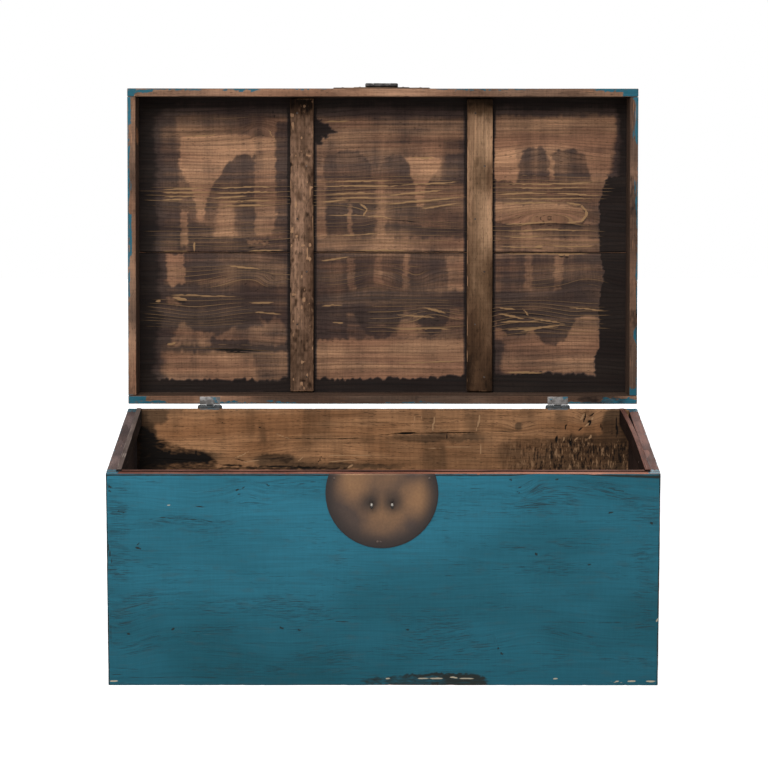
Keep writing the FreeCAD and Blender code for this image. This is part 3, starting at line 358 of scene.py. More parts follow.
# Settings that many nodes share
TIMES, PLUS, MINUS, MOST = ({"operation": word} for word in ("MULTIPLY", "ADD", "SUBTRACT", "MAXIMUM"))
SOFT = {"interpolation_type": "SMOOTHSTEP"}


def board_finish(name, pale, mid, ring, scuff, stain="8E959E", dirt="16110D", saw=0.25, saw_mark=(2.8, 60),
                 fleck=(3.2, 13), lines=0.6, painted=False):
    """Old softwood board: growth lines, saw marks, stain laps, rubbed ridges and, over it, brushed paint.

    Under it all is pine, open-grained and dull. Lengths in the patterns are in millimetres: growth lines
    7 apart, and fibres 1.8, which is coarser than pine's own so that they show. Saw marks and torn
    flecks are given along and across the grain. The paint is casein, matt, with its brush strokes and
    fine checks along the grain, and deeper where it is thick.
    """
    material, tree = bare_finish(name)
    node = partial(add_node, tree)
    grain = node("Attribute", out="Vector", attribute_name="grain")
    keys = ("relief", "stain", "dirt", "torn", "scuff", "pale")
    keys += ("crazed", "faded", "paint", "bared") if painted else ()
    board = {key: node("Attribute", out="Fac", attribute_name=key) for key in keys}

    def cloud(along, across, detail=2.0, rough=0.5):
        """Noise whose hills are along by across millimetres."""
        scaled = node("Mapping", {"Vector": grain, "Scale": (1000 / along, 1000 / across, 1000 / across)})
        return node("TexNoise", {"Vector": scaled, "Scale": 1.0, "Detail": detail, "Roughness": rough})

    def swing(level, pattern, amount):
        """A level moved up and down by a 0 to 1 pattern about its middle."""
        moved = node("Math", (node("Math", (pattern, 0.5), **MINUS), amount), **TIMES)
        return node("Math", (level, moved), **PLUS)

    def shaded(colour, level):
        """A colour made darker or lighter all through."""
        grey = node("CombineColor", (level, level, level))
        return node("MixRGB", (1.0, colour, grey), blend_type="MULTIPLY")

    fibre = cloud(70, 1.8, 3, 0.6)
    streaky = cloud(230, 7, 3, 0.6)
    squeezed = node("Mapping", {"Vector": grain, "Scale": (1000 / 160, 1000 / 16, 1000 / 16)})
    growth = node("TexWave", {"Vector": squeezed, "Scale": 0.72, "Distortion": 2.4, "Detail": 2.0,
                              "Detail Scale": 1.4}, out="Fac", bands_direction="Y", wave_profile="SAW")
    sawn = node("MapRange", (cloud(*saw_mark, 2, 0.6), 0.34, 0.66), **SOFT)

    broad = node("MapRange", (cloud(190, 38, 3), 0.35, 0.65), **SOFT)
    wood = node("MixRGB", (broad, linear(mid), linear(pale)))
    late = node("MapRange", (growth, 0.55, 1.0), **SOFT)
    wood = node("MixRGB", (node("Math", (late, lines), **TIMES), wood, linear(ring)))
    trough = node("MapRange", (growth, 0.75, 0.15, 0.0, 0.55), **SOFT)
    wood = node("MixRGB", (node("Math", (trough, board["relief"]), **TIMES), wood, shaded(wood, 0.3)))
    for pattern, low, high, dark, light in ((streaky, 0.3, 0.7, 0.76, 1.22), (fibre, 0.3, 0.7, 0.82, 1.15),
                                            (sawn, 0.0, 1.0, 1 - saw * 0.32, 1 + saw * 0.25)):
        wood = shaded(wood, node("MapRange", (pattern, low, high, dark, light), **SOFT))
    # Stain darkens the wood; on some boards this value also carries painted shade.
    soaked_and_shaded = swing(board["stain"], cloud(50, 30, 3, 0.6), 0.4)
    soaked_and_shaded = swing(swing(soaked_and_shaded, streaky, 0.4), sawn, -0.25 * saw)
    stained = node("MixRGB", (1.0, wood, linear(stain)), blend_type="MULTIPLY")
    wood = node("MixRGB", (node("MapRange", (soaked_and_shaded, 0.05, 0.9), **SOFT), wood, stained))
    wood = node("MixRGB", (node("MapRange", (soaked_and_shaded, 0.9, 1.35), **SOFT), wood, shaded(wood, 0.25)))
    pores = node("MapRange", (cloud(9, 1.1, 1), 0.62, 0.70, 0.0, 0.6), **SOFT)
    surface = node("MixRGB", (pores, wood, linear(dirt)))
    height = node("Math", (fibre, 0.7), **TIMES)
    for pattern, amount in ((growth, 0.35), (sawn, 0.5 * saw)):
        height = node("Math", (height, node("Math", (pattern, amount), **TIMES)), **PLUS)
    roughness = node("MapRange", (fibre, 0.3, 0.7, 0.66, 0.84), **SOFT)

    if painted:
        streaks = cloud(110, 2.2, 3, 0.65)
        finest = node("Math", (board["crazed"], 0.145), **TIMES)
        finest = node("MapRange", (node("Math", (cloud(24, 0.8, 1), finest), **PLUS), 0.66, 0.72), **SOFT)
        checks = node("Math", (finest, node("MapRange", (cloud(90, 30, 2), 0.40, 0.58), **SOFT)), **TIMES)
        # Paler paint where weathered, and on the front board paler towards the top as painted light.
        weathered_and_lit = node("MapRange", (cloud(260, 120, 3), 0.35, 0.65, 0.0, 0.3), **SOFT)
        weathered_and_lit = node("Math", (weathered_and_lit, node("Math", (board["faded"], 0.6), **TIMES)), **PLUS)
        paint = node("MixRGB", (weathered_and_lit, linear(DEEP_TEAL), linear(TEAL)))
        strokes = node("MapRange", (streaks, 0.28, 0.72, 0.88, 1.12), **SOFT)
        crossed = node("MapRange", (cloud(2.6, 34, 2), 0.3, 0.7, 0.97, 1.03), **SOFT)
        paint = shaded(paint, node("Math", (strokes, crossed), **TIMES))
        thin = node("MapRange", (cloud(34, 9, 3, 0.65), 0.52, 0.74, 0.0, 0.26), **SOFT)
        paint = node("MixRGB", (thin, paint, linear("3A4C4E")))
        paint = node("MixRGB", (node("Math", (checks, 0.75), **TIMES), paint, linear(CHECK_DARK)))
        held = swing(board["paint"], cloud(20, 3, 3, 0.65), 1.5)
        held = node("Math", (held, node("Math", (board["bared"], 0.55), **TIMES)), **MINUS)
        held = node("MapRange", (held, 0.40, 0.52), **SOFT)
        surface = node("MixRGB", (held, surface, paint))
        sunk = node("Math", (checks, 0.6), **TIMES)
        coat_height = node("Math", (node("Math", (streaks, 0.3), **TIMES), sunk), **MINUS)
        height = node("MixRGB", (held, height, node("Math", (coat_height, 0.6), **PLUS)))
        satin = node("MapRange", (streaks, 0.3, 0.7, 0.42, 0.55), **SOFT)
        roughness = node("MixRGB", (held, roughness, satin))

    flecks = cloud(*fleck, 2)
    # Dark where dirty, and where painted shadow is laid as a line or patch.
    grime_and_shade = node("MapRange", (swing(board["dirt"], cloud(12, 4, 2), 0.5), 0.3, 0.75), **SOFT)
    dark_fleck = node("Math", (board["torn"], node("MapRange", (flecks, 0.53, 0.62), **SOFT)), **TIMES)
    surface = node("MixRGB", (node("Math", (grime_and_shade, dark_fleck), **MOST), surface, linear(dirt)))
    rubbed = node("Math", (cloud(70, 1.5, 2), 0.62), **TIMES)
    rubbed = node("Math", (rubbed, node("Math", (board["scuff"], 0.5), **TIMES)), **PLUS)
    rubbed = node("MapRange", (rubbed, 0.5, 0.62), **SOFT)
    ridge = node("MapRange", (swing(board["pale"], cloud(26, 5, 2), 0.5), 0.28, 0.55), **SOFT)
    crest = node("MapRange", (swing(board["relief"], cloud(90, 9, 2), 1.2), 0.35, 0.7, 0.0, 0.6), **SOFT)
    crest = node("Math", (node("MapRange", (growth, 0.84, 0.93), **SOFT), crest), **TIMES)
    pale_fleck = node("MapRange", (flecks, 0.42, 0.33, 0.0, 0.7), **SOFT)
    pale_fleck = node("Math", (board["torn"], pale_fleck), **TIMES)
    for pattern in (ridge, crest, pale_fleck):
        rubbed = node("Math", (rubbed, pattern), **MOST)
    surface = node("MixRGB", (node("Math", (rubbed, 0.85), **TIMES), surface, linear(scuff)))
    bump = node("Bump", {"Height": height, "Strength": 0.6, "Distance": 0.0007})
    shader = node("BsdfPrincipled", {"Base Color": surface, "Roughness": roughness, "Normal": bump,
                                     "Specular IOR Level": 0.15 if painted else 0.08})
    node("OutputMaterial", (shader,))
    return material


# Marks on the front: strokes as along, up, along, up and half width, and crazed places as centres, half
# sizes and strength.
FRONT_DARK = (
    (-345, 94, -341, 96, 2.2), (-168, 98, -163, 96, 2.4), (-139, 94, -135, 92, 1.8),
    (366, 290, 373, 291, 2.0), (249, 222, 250, 219, 2.4), (333, 203, 337, 203, 2.0),
    (-239, 325, -235, 327, 1.8), (-229, 328, -224, 331, 1.5), (-235, 319, -231, 320, 1.5),
    (-190, 337, -184, 334, 1.6), (-419, 88, -414, 87, 2.0), (218, 329, 226, 331, 1.4),
    (217, 324, 222, 321, 1.4), (278, 338, 284, 340, 1.8), (37, 94, 43, 94, 1.8), (186, 66, 190, 60, 1.4),
    (192, 56, 196, 52, 1.8), (-402, 232, -394, 229, 2.4), (-400, 236, -397, 240, 1.6),
    (435, 274, 437, 271, 2.4), (-446, 334, -440, 331, 2.2), (-452, 290, -412, 291, 1.2),
    (-430, 293, -422, 289, 1.4), (-449, 245, -441, 200, 1.4), (-447, 328, -440, 324, 1.6),
    (268, 215, 271, 185, 0.8), (-80, 108, -54, 107, 1.3), (-420, 20, -445, 18, 1.2),
    (-306, 301, -288, 299, 1.3), (178, 92, 190, 62, 0.7), (240, 76, 262, 72, 0.9),
    (405, 106, 335, 104, 0.8), (370, 330, 395, 331, 1.2), (205, 345, 209, 344, 1.6),
    (-120, 341, -108, 342, 1.1), (-398, 342, -350, 338, 0.6), (-378, 284, -300, 268, 0.8),
    (-350, 286, -268, 270, 0.8), (-328, 288, -256, 272, 0.7), (-384, 276, -352, 272, 0.9),
    (-318, 326, -258, 332, 0.7), (-292, 316, -236, 326, 0.7), (-230, 300, -196, 309, 0.6),
    (-214, 302, -150, 287, 0.6), (-262, 338, -210, 345, 0.6), (-186, 312, -120, 318, 0.6),
    (262, 336, 330, 322, 0.8), (300, 342, 372, 330, 0.7), (330, 318, 420, 312, 0.7),
    (150, 322, 214, 318, 0.6), (-446, 140, -444, 60, 0.9), (-408, 158, -330, 152, 0.8),
    (-420, 120, -372, 118, 0.8), (190, 232, 240, 231, 0.7), (60, 262, 120, 260, 0.6),
    (250, 303, 330, 300, 0.8), (228, 300, 300, 306, 0.6), (350, 336, 404, 326, 0.8),
    (396, 300, 440, 304, 0.6))
FRONT_PALE = (
    (56, 12, 74, 12, 0.9), (76, 12, 98, 12, 1.2), (110, 14, 122, 13, 1.2), (124, 12, 150, 12, 1.0),
    (5, 12, 12, 12, 1.0), (280, 12, 284, 12, 1.4), (372, 7, 392, 6, 1.1), (400, 8, 416, 6, 1.3),
    (430, 7, 446, 7, 1.4), (-447, 8, -434, 7, 1.5), (446, 108, 449, 112, 1.6), (-349, 302, -347, 302, 1.2))
FRONT_CRAZED = (
    (-235, 322, 70, 22, 0.65), (-320, 278, 70, 22, 0.7), (-150, 330, 80, 16, 0.6), (-410, 120, 40, 80, 0.7),
    (330, 320, 110, 24, 0.9), (260, 215, 60, 30, 0.5), (-200, 110, 120, 40, 0.5), (150, 100, 200, 40, 0.5),
    (-430, 250, 16, 90, 0.8), (430, 200, 18, 140, 0.6), (0, 40, 400, 18, 0.45), (300, 303, 90, 14, 0.8))

# Painted pine: matt and even from afar, with strokes and checks close by, and salmon where it is rubbed.
teal_board = board_finish("teal painted pine", pale="CE9078", mid="B4745C", ring="7A4C3A", stain="98868A",
                          scuff="C6B8A0", dirt="1E2422", saw=0.1, painted=True)
HALF_LENGTH = 450


def front_wear(points, on, edge):
    """Paint outside and on both ends; rim, foot and inside bare, with a scraped foot, dirty edges, a painted
    shadow line under the rim, and the paint lighter towards the top as painted light.
    """
    x, z = points[:, 0], points[:, 2]
    outside = on["front"]
    paint = np.where(outside | on["left"] | on["right"], 1.0, 0.0)
    paint = np.where(on["top"], 0.95 * rise(np.abs(x), HALF_LENGTH - 26, HALF_LENGTH - 14), paint)
    paint = np.where(on["back"] | on["under"], 0.0, paint)
    cut = 0.18 * rise(drift(points, (90, 14, 14), 31), -0.4, 1.0)
    cut += 0.35 * rise(drift(points, (420, 200, 160), 32), -0.6, 1)
    dirt = outside * (0.8 + 0.3 * drift(points, (20, 20, 26), 33))
    dirt *= 1 - rise(HALF_LENGTH - np.abs(x), 0.8, 4.5)
    dirt = np.maximum(dirt, outside * 0.5 * (1 - rise(edge, 0.5, 2.2)))
    # A thin dark line just under the rim is painted shadow of the rim, carried with the dirt.
    painted_rim_shadow = rise(z, 350.5, 352) * (1 - rise(z, 352.6, 353.6))
    dirt = np.maximum(dirt, 0.9 * outside * painted_rim_shadow)
    scraped = outside * brushed(x, z, ((95, 6, 78, 15, 1.0), (30, 8, 70, 8, 0.8)), 0, 35, points)
    dirt = np.maximum(dirt, 0.72 * scraped)
    dark = outside * marked(x, z, FRONT_DARK, points, 38)
    dirt = np.maximum(dirt, 0.82 * dark)
    cut += 0.35 * scraped + 0.7 * dark
    rim_stain = 0.62 - 0.7 * rise(x, -120, 160) + 0.2 * drift(points, (60, 9, 9), 37)
    return cut, {"paint": paint, "dirt": dirt, "stain": np.where(on["back"], 0.9, rim_stain),
                 "crazed": outside * brushed(x, z, FRONT_CRAZED, 0, 36, points, edge=12),
                 # Painted light: the paint is lighter towards the top, as if lit from above; it is also darker
                 # towards the right.
                 "faded": rise(z, 0, 330) * (1 - 0.6 * rise(x, 60, 380)),
                 "pale": outside * marked(x, z, FRONT_PALE, points, 39)}


plank("front_board", (2.5, 2.2), front_wear, teal_board, seed=3, plain="back",
      splits=((-430, -240, 13.5, 0, 0.9, 0.9, 0, "front"), (205, 292, 299.5, 0, 0.8, 0.8, 0, "front"),
              (262, 440, 327, -20, 0.8, 0.8, 0, "front"), (-372, -262, 279, -9, 0.8, 0.7, 0, "front"),
              (-300, -215, 326, 4, 0.7, 0.7, 0, "front"), (250, 385, 106, 0, 0.8, 0.8, 0, "front"),
              (-240, -95, 71, 0, 0.7, 0.6, 0, "front"), (60, 200, 44, 0, 0.7, 0.6, 0, "front")),
      knots=((-330, 300, 60, 26, 10), (-225, 322, 26, 16, -7), (228, 325, 22, 14, 8), (300, 335, 70, 20, -9),
             (-430, 90, 50, 60, 20), (250, 90, 80, 40, -18), (-160, 60, 90, 30, 12), (60, 70, 60, 24, 10)))


# ---------------------------------------------------------------------------------------------
# Back board of the box
# The same pine, painted outside; its inside is sawn and stained light brown, with an open crack, a
# blackened foot, a knot that has fallen out and torn fibres where the saw lifted them.
# Its left end is darkened as painted shadow of the side board.
# ---------------------------------------------------------------------------------------------
# Marks on its inside: black stain as a tone, how soft its edge is and its corners, strokes as on the front,
# and laps of brown stain as centres, half sizes and strength. Some black and brown marks at the left end
# are painted shadow of the side board.
BACK_BLACK = (
    (0.6, 8, (-405, 312), (-354, 292), (-310, 282), (-284, 262), (-300, 250), (-405, 246)),
    # Painted shadow of the left side board, down the left end.
    (0.72, 7, (-433, 335), (-412, 325), (-394, 302), (-384, 262), (-390, 244), (-433, 244)),
    (0.85, 3, (-412, 270), (-396, 274), (-384, 278), (-366, 272), (-350, 277), (-330, 273), (-314, 275),
     (-302, 267), (-306, 262), (-340, 263), (-360, 259), (-412, 262)),
    (0.5, 4, (-230, 266), (-200, 269), (-164, 274), (-156, 262), (-172, 258), (-204, 263), (-228, 262)),
    (0.6, 3, (-433, 252), (-330, 254), (-200, 256), (-60, 252), (-60, 246), (-433, 244)))
BACK_DARK = (
    (-390, 270, -389, 284, 1.4), (-378, 270, -377, 282, 1.2), (-331, 266, -330, 284, 1.2),
    (-322, 266, -321, 280, 1.0), (-300, 258, -240, 255, 1.4), (-240, 256, -100, 250, 1.2),
    (-116, 258, -106, 274, 1.2), (-262, 267, -240, 264, 1.0), (25, 314, 60, 315, 2.4),
    (60, 314, 172, 314, 1.3), (-30, 306, 25, 313, 1.0), (-180, 305, -30, 303, 0.8),
    (172, 315, 262, 318, 0.8), (112, 300, 114, 312, 1.3), (119, 298, 120, 306, 1.1),
    (354, 332, 358, 350, 2.0), (364, 328, 367, 336, 2.0), (366, 344, 372, 350, 1.8),
    (346, 318, 352, 324, 1.8), (306, 296, 308, 309, 2.4), (331, 290, 333, 310, 2.8),
    (322, 320, 324, 330, 1.6), (384, 330, 387, 320, 1.6), (412, 345, 414, 300, 1.8),
    (-218, 325, -214, 322, 1.4), (-290, 336, -276, 328, 1.0), (-60, 330, 20, 333, 0.8),
    (-330, 300, -262, 296, 0.7), (180, 346, 300, 343, 0.7), (200, 286, 260, 283, 0.9))
BACK_PALE = (
    (-262, 268, -235, 281, 1.1), (-150, 262, -136, 274, 0.9), (88, 318, 92, 345, 1.3),
    (166, 318, 172, 350, 1.5), (172, 300, 174, 270, 1.0), (350, 338, 356, 348, 1.8),
    (358, 326, 364, 332, 1.6), (368, 336, 372, 344, 1.4), (365, 304, 368, 310, 1.8),
    (338, 300, 344, 306, 1.3), (318, 296, 320, 306, 1.4), (-250, 262, -214, 266, 0.8),
    (-192, 314, -160, 302, 0.8), (-130, 272, 20, 275, 0.7), (-100, 262, -40, 266, 0.9),
    (60, 286, 180, 290, 0.7), (-60, 252, -54, 256, 1.6), (20, 320, 160, 320, 0.7), (54, 326, 56, 346, 0.8),
    (66, 326, 68, 346, 0.8))
BACK_STAINS_AND_SHADOW = (
    (-300, 312, 100, 40, 0.2), (-345, 325, 14, 26, 0.1), (-140, 325, 110, 26, 0.3),
    (70, 285, 130, 34, 0.42), (150, 338, 170, 18, 0.34), (-212, 292, 8, 40, 0.5), (-120, 280, 100, 14, 0.2),
    (10, 325, 70, 22, 0.26), (-350, 272, 60, 9, 0.8), (-90, 254, 120, 5, 0.8), (-190, 266, 34, 9, 0.9),
    (90, 306, 80, 7, 0.75), (240, 325, 6, 7, 0.9), (270, 275, 70, 30, 0.62), (360, 278, 70, 32, 0.8),
    # The last three laps here, at the left end, are painted shadow of the left side board.
    (410, 300, 22, 60, 1.0), (-424, 300, 22, 60, 1.15), (-400, 262, 22, 22, 1.0), (-396, 345, 16, 14, 0.8))
KNOT_X, KNOT_Z = 361, 340

# Sawn pine under a thin stain: warm and dull, with saw marks as soft stripes along it.
inside_board = board_finish("sawn pine, light stain", pale="CC966A", mid="AE7A52", ring="745038",
                            scuff="C79C74", dirt="140F0C", saw=0.16, saw_mark=(7, 70), fleck=(3.4, 12),
                            lines=0.35, painted=True)


def back_wear(points, on, edge):
    """Paint outside and on the ends, remains of it on the rim, and the worn, sawn inside with painted shadow at
    its left end.
    """
    x, z = points[:, 0], points[:, 2]
    inside = on["front"]
    paint = np.where(on["back"] | on["left"] | on["right"], 1.0, 0.0)
    rim_paint = 0.25 + 0.7 * rise(np.abs(x), HALF_LENGTH - 25, HALF_LENGTH - 13)
    paint = np.where(on["top"], rim_paint, paint)
    paint = np.where(inside | on["under"], 0.0, paint)
    torn = inside * rise(x, 175, 300) * (1 - rise(z + 8 * drift(points, (30, 900, 30), 52), 293, 308))
    cut = 0.2 + 0.15 * drift(points, (300, 200, 90), 42)
    cut += torn * (0.3 + 0.8 * np.abs(drift(points, (9, 900, 22), 43)))
    knot = inside * rise(-np.hypot((x - KNOT_X) / 8, (z - KNOT_Z) / 17), -1, -0.5)
    cut += knot * (0.8 + 2.5 * rise(drift(points, (6, 6, 6), 44), 0, 0.7))
    stain = brushed(x, z, BACK_STAINS_AND_SHADOW, 0.35, 45, points, edge=4)
    stain += 0.2 * rise(drift(points, (26, 900, 120), 50), 0.1, 0.6)
    dirt = 0.7 * knot * rise(drift(points, (7, 7, 7), 46), -0.3, 0.5)
    # Black marks, with painted shadow of the side board at the left end.
    dirt = np.maximum(dirt, inside * outlined(x, z, BACK_BLACK, 0, 54, points))
    dark = inside * marked(x, z, BACK_DARK, points, 51)
    dirt = np.maximum(dirt, 0.95 * dark)
    cut += 0.8 * dark
    return cut, {"paint": paint, "stain": np.where(on["back"], 0.2, stain), "scuff": 0.25 * on["top"],
                 "dirt": dirt, "torn": 0.85 * torn, "pale": inside * marked(x, z, BACK_PALE, points, 53)}


plank("back_board", (2.5, 2.2), back_wear, inside_board, seed=11, plain="back",
      splits=((5, 178, 314, 2, 1.6, 2.2, 1.3, "front"), (-185, -12, 304, 3, 0.8, 1.2, 0.2, "front"),
              (-240, -165, 267, 2, 1.2, 1.6, 0.4, "front"), (-400, -300, 265, -4, 1.4, 1.8, 0.5, "front")),
      knots=((KNOT_X, KNOT_Z, 24, 18, 10), (241, 325, 22, 12, 8), (-120, 285, 90, 24, -8),
             (-10, 330, 120, 20, 6)))


# ---------------------------------------------------------------------------------------------
# Side boards of the box
# Pine boards set between front and back and nailed through them. Their tops are rubbed bare by the
# lid, purple-brown, with paint left at the corners and along the outer arris.
# ---------------------------------------------------------------------------------------------
# The bare rim is duller than the paint beside it, and greyer on the left.
for outer, inner, seed, pale, mid in (("left", "right", 17, "98807A", "786460"),
                                      ("right", "left", 19, "9A7064", "785248")):
    rim_board = board_finish(f"teal painted pine, bare rim, {outer}", pale=pale, mid=mid, ring="4C3832",
                             scuff="B08A78", dirt="1C1614", saw=0.1, painted=True)

    def side_wear(points, on, edge, outer=outer, inner=inner, seed=seed):
        """Paint outside; a rubbed rim with paint at its ends and outer arris; bare wood inside, darkened partly as
        painted shade.
        """
        depth = np.abs(points[:, 0])
        paint = np.where(on[outer], 1.0, 0.0)
        ends = rise(np.abs(points[:, 1]), 236, 258)
        arris = rise(depth, HALF_LENGTH - 5, HALF_LENGTH - 1)
        paint = np.where(on["top"], np.maximum(0.75 * ends, 0.4 * arris), paint)
        paint = np.where(on[inner] | on["under"], 0.0, paint)
        cut = 0.15 + 0.15 * drift(points, (60, 120, 14), seed)
        cut += 0.5 * on["top"] * rise(drift(points, (20, 60, 20), seed + 1), 0.1, 0.9)
        stain = np.where(on["top"], 0.3 + 0.3 * drift(points, (40, 60, 40), seed + 2), 0.9)
        # The inside face is dark: partly stain, partly painted shade inside the box.
        stain = np.where(on[inner], 1.25, stain)
        scuff = 0.3 * on["top"] * rise(drift(points, (9, 60, 9), seed + 3), 0, 0.6)
        return cut, {"paint": paint, "stain": stain, "scuff": scuff,
                     "dirt": 0.5 * on[outer] * (1 - rise(edge, 0.5, 3))}

    plank(f"{outer}_side_board", (4.5, 2.4), side_wear, rim_board, seed=seed,
          splits=((-180, 120, 210, 6, 0.8, 0.8, 0, outer),),
          knots=((-100, 120, 60, 30, 14), (120, 260, 70, 26, -12)))


# ---------------------------------------------------------------------------------------------
# Bottom boards
# Three thin sawn boards nailed between the walls, dark with stain and dust, with open joints.
# ---------------------------------------------------------------------------------------------
# Dark stain and dust take the shine away, and the saw marks show as rough stripes.
floor_board = board_finish("sawn pine, dark stain", pale="8A6A4E", mid="6C4F39", ring="4A3426",
                           scuff="A98662", stain="A5ACB8", saw=0.25)
for order, which in enumerate(("front", "middle", "rear")):
    seed = 23 + order

    def bottom_wear(points, on, edge, seed=seed):
        """Sawn and stained all over, and trodden a little on top."""
        cut = 0.25 + 0.25 * drift(points, (120, 20, 90), seed)
        cut = np.where(on["under"], 0.0, cut)
        stain = 0.6 + 0.35 * drift(points, (160, 70, 90), seed + 1)
        return cut, {"stain": stain, "scuff": 0.2 * rise(drift(points, (60, 20, 9), seed + 2), 0, 1)}

    plank(f"bottom_board_{which}", (7, 4), bottom_wear, floor_board, seed=seed,
          knots=((-200 + 180 * order, -180 + 170 * order, 40, 20, 12),))


# ---------------------------------------------------------------------------------------------
# Lip strips
# Thin hardwood strips nailed inside the mouth, over which the lid drops. They are rubbed smooth and
# red-brown; the right one has sprung off its board towards the hinges.
# ---------------------------------------------------------------------------------------------
# Close hardwood without saw marks: smoother to the eye, red-brown, and grey on the left.
lip_finish = board_finish("rubbed hardwood lip", pale="966E62", mid="764F44", ring="55382F",
                          scuff="C08A74", saw=0.0)
grey_lip = board_finish("greyed hardwood lip", pale="94847C", mid="76665F", ring="54453F",
                        scuff="A99A90", saw=0.0)


def lip_wear(points, on, edge):
    """Tops rubbed pale, sides dark partly with handling and partly as painted shade."""
    cut = 0.1 + 0.3 * rise(drift(points, (30, 30, 12), 51), 0, 1)
    # Sides darker than the tops: partly handling, partly painted shade.
    stain = np.where(on["top"], 0.2, 1.3) + 0.2 * drift(points, (40, 40, 20), 52)
    scuff = np.where(on["top"], 0.3, 0.0) + 0.2 * rise(drift(points, (50, 50, 8), 53), 0.2, 0.8) * on["top"]
    return cut, {"stain": stain, "scuff": scuff}


plank("front_lip_strip", (5, 2.2), lip_wear, lip_finish, seed=29, arris=1.0, worn=0.6, chips=1.0)
plank("left_lip_strip", (5, 2.2), lip_wear, grey_lip, seed=31, arris=1.0, worn=0.6, chips=1.0)

# The right strip has sprung: over its last SPRING_RUN towards the hinges it is bowed off the board.
strip_low, strip_high = drawn_box("left_lip_strip", Matrix())
sprung_low, sprung_high = drawn_box("right_lip_strip", Matrix())
strip_thick = strip_high[0] - strip_low[0]
spring = (sprung_high[0] - sprung_low[0]) - strip_thick
SPRING_RUN = 350
spring_radius = (SPRING_RUN ** 2 + spring ** 2) / (2 * spring)


def sprung(points):
    """The strip drawn in its sprung box is pressed to its true thickness and bowed off the board."""
    from_nail = np.clip(points[:, 1] - (sprung_high[1] - SPRING_RUN), 0, None)
    bow = spring_radius - np.sqrt(spring_radius ** 2 - from_nail ** 2)
    share = (sprung_high[0] - points[:, 0]) / (sprung_high[0] - sprung_low[0])
    return np.stack([sprung_high[0] - bow - share * strip_thick, points[:, 1], points[:, 2]], 1)


plank("right_lip_strip", (5, 2.2), lip_wear, lip_finish, seed=37, arris=1.6, worn=0.8, chips=1.0,
      bend=sprung)


# ---------------------------------------------------------------------------------------------
# Lid boards
# Two wide pine boards over the lid frame, painted outside. Inside, the dark stain was laid on in
# laps with a broad brush, and raised grain has been rubbed pale; under the front rail, along the side
# rails and beside the battens it is darkened as painted shadow. The boards are butted together.
# ---------------------------------------------------------------------------------------------
hinge = next(joint for joint in frame["joints"] if joint["name"] == "lid_hinge")
hinge_axis = Vector(hinge["pos_m"])
opened_by = math.radians(hinge["range_deg"][1])
lid_place = (Matrix.Translation(hinge_axis) @ Matrix.Rotation(-opened_by, 4, "X")
             @ Matrix.Translation(-hinge_axis))
HINGE_Y = hinge_axis.y * 1000

# Inside the lid a place is given along the chest and by its distance from the hinge. The seam of the two
# boards is at SEAM, and the battens are given by their middles and half widths.
SEAM = 271
BATTENS = ((-144.5, 21), (173.5, 23))
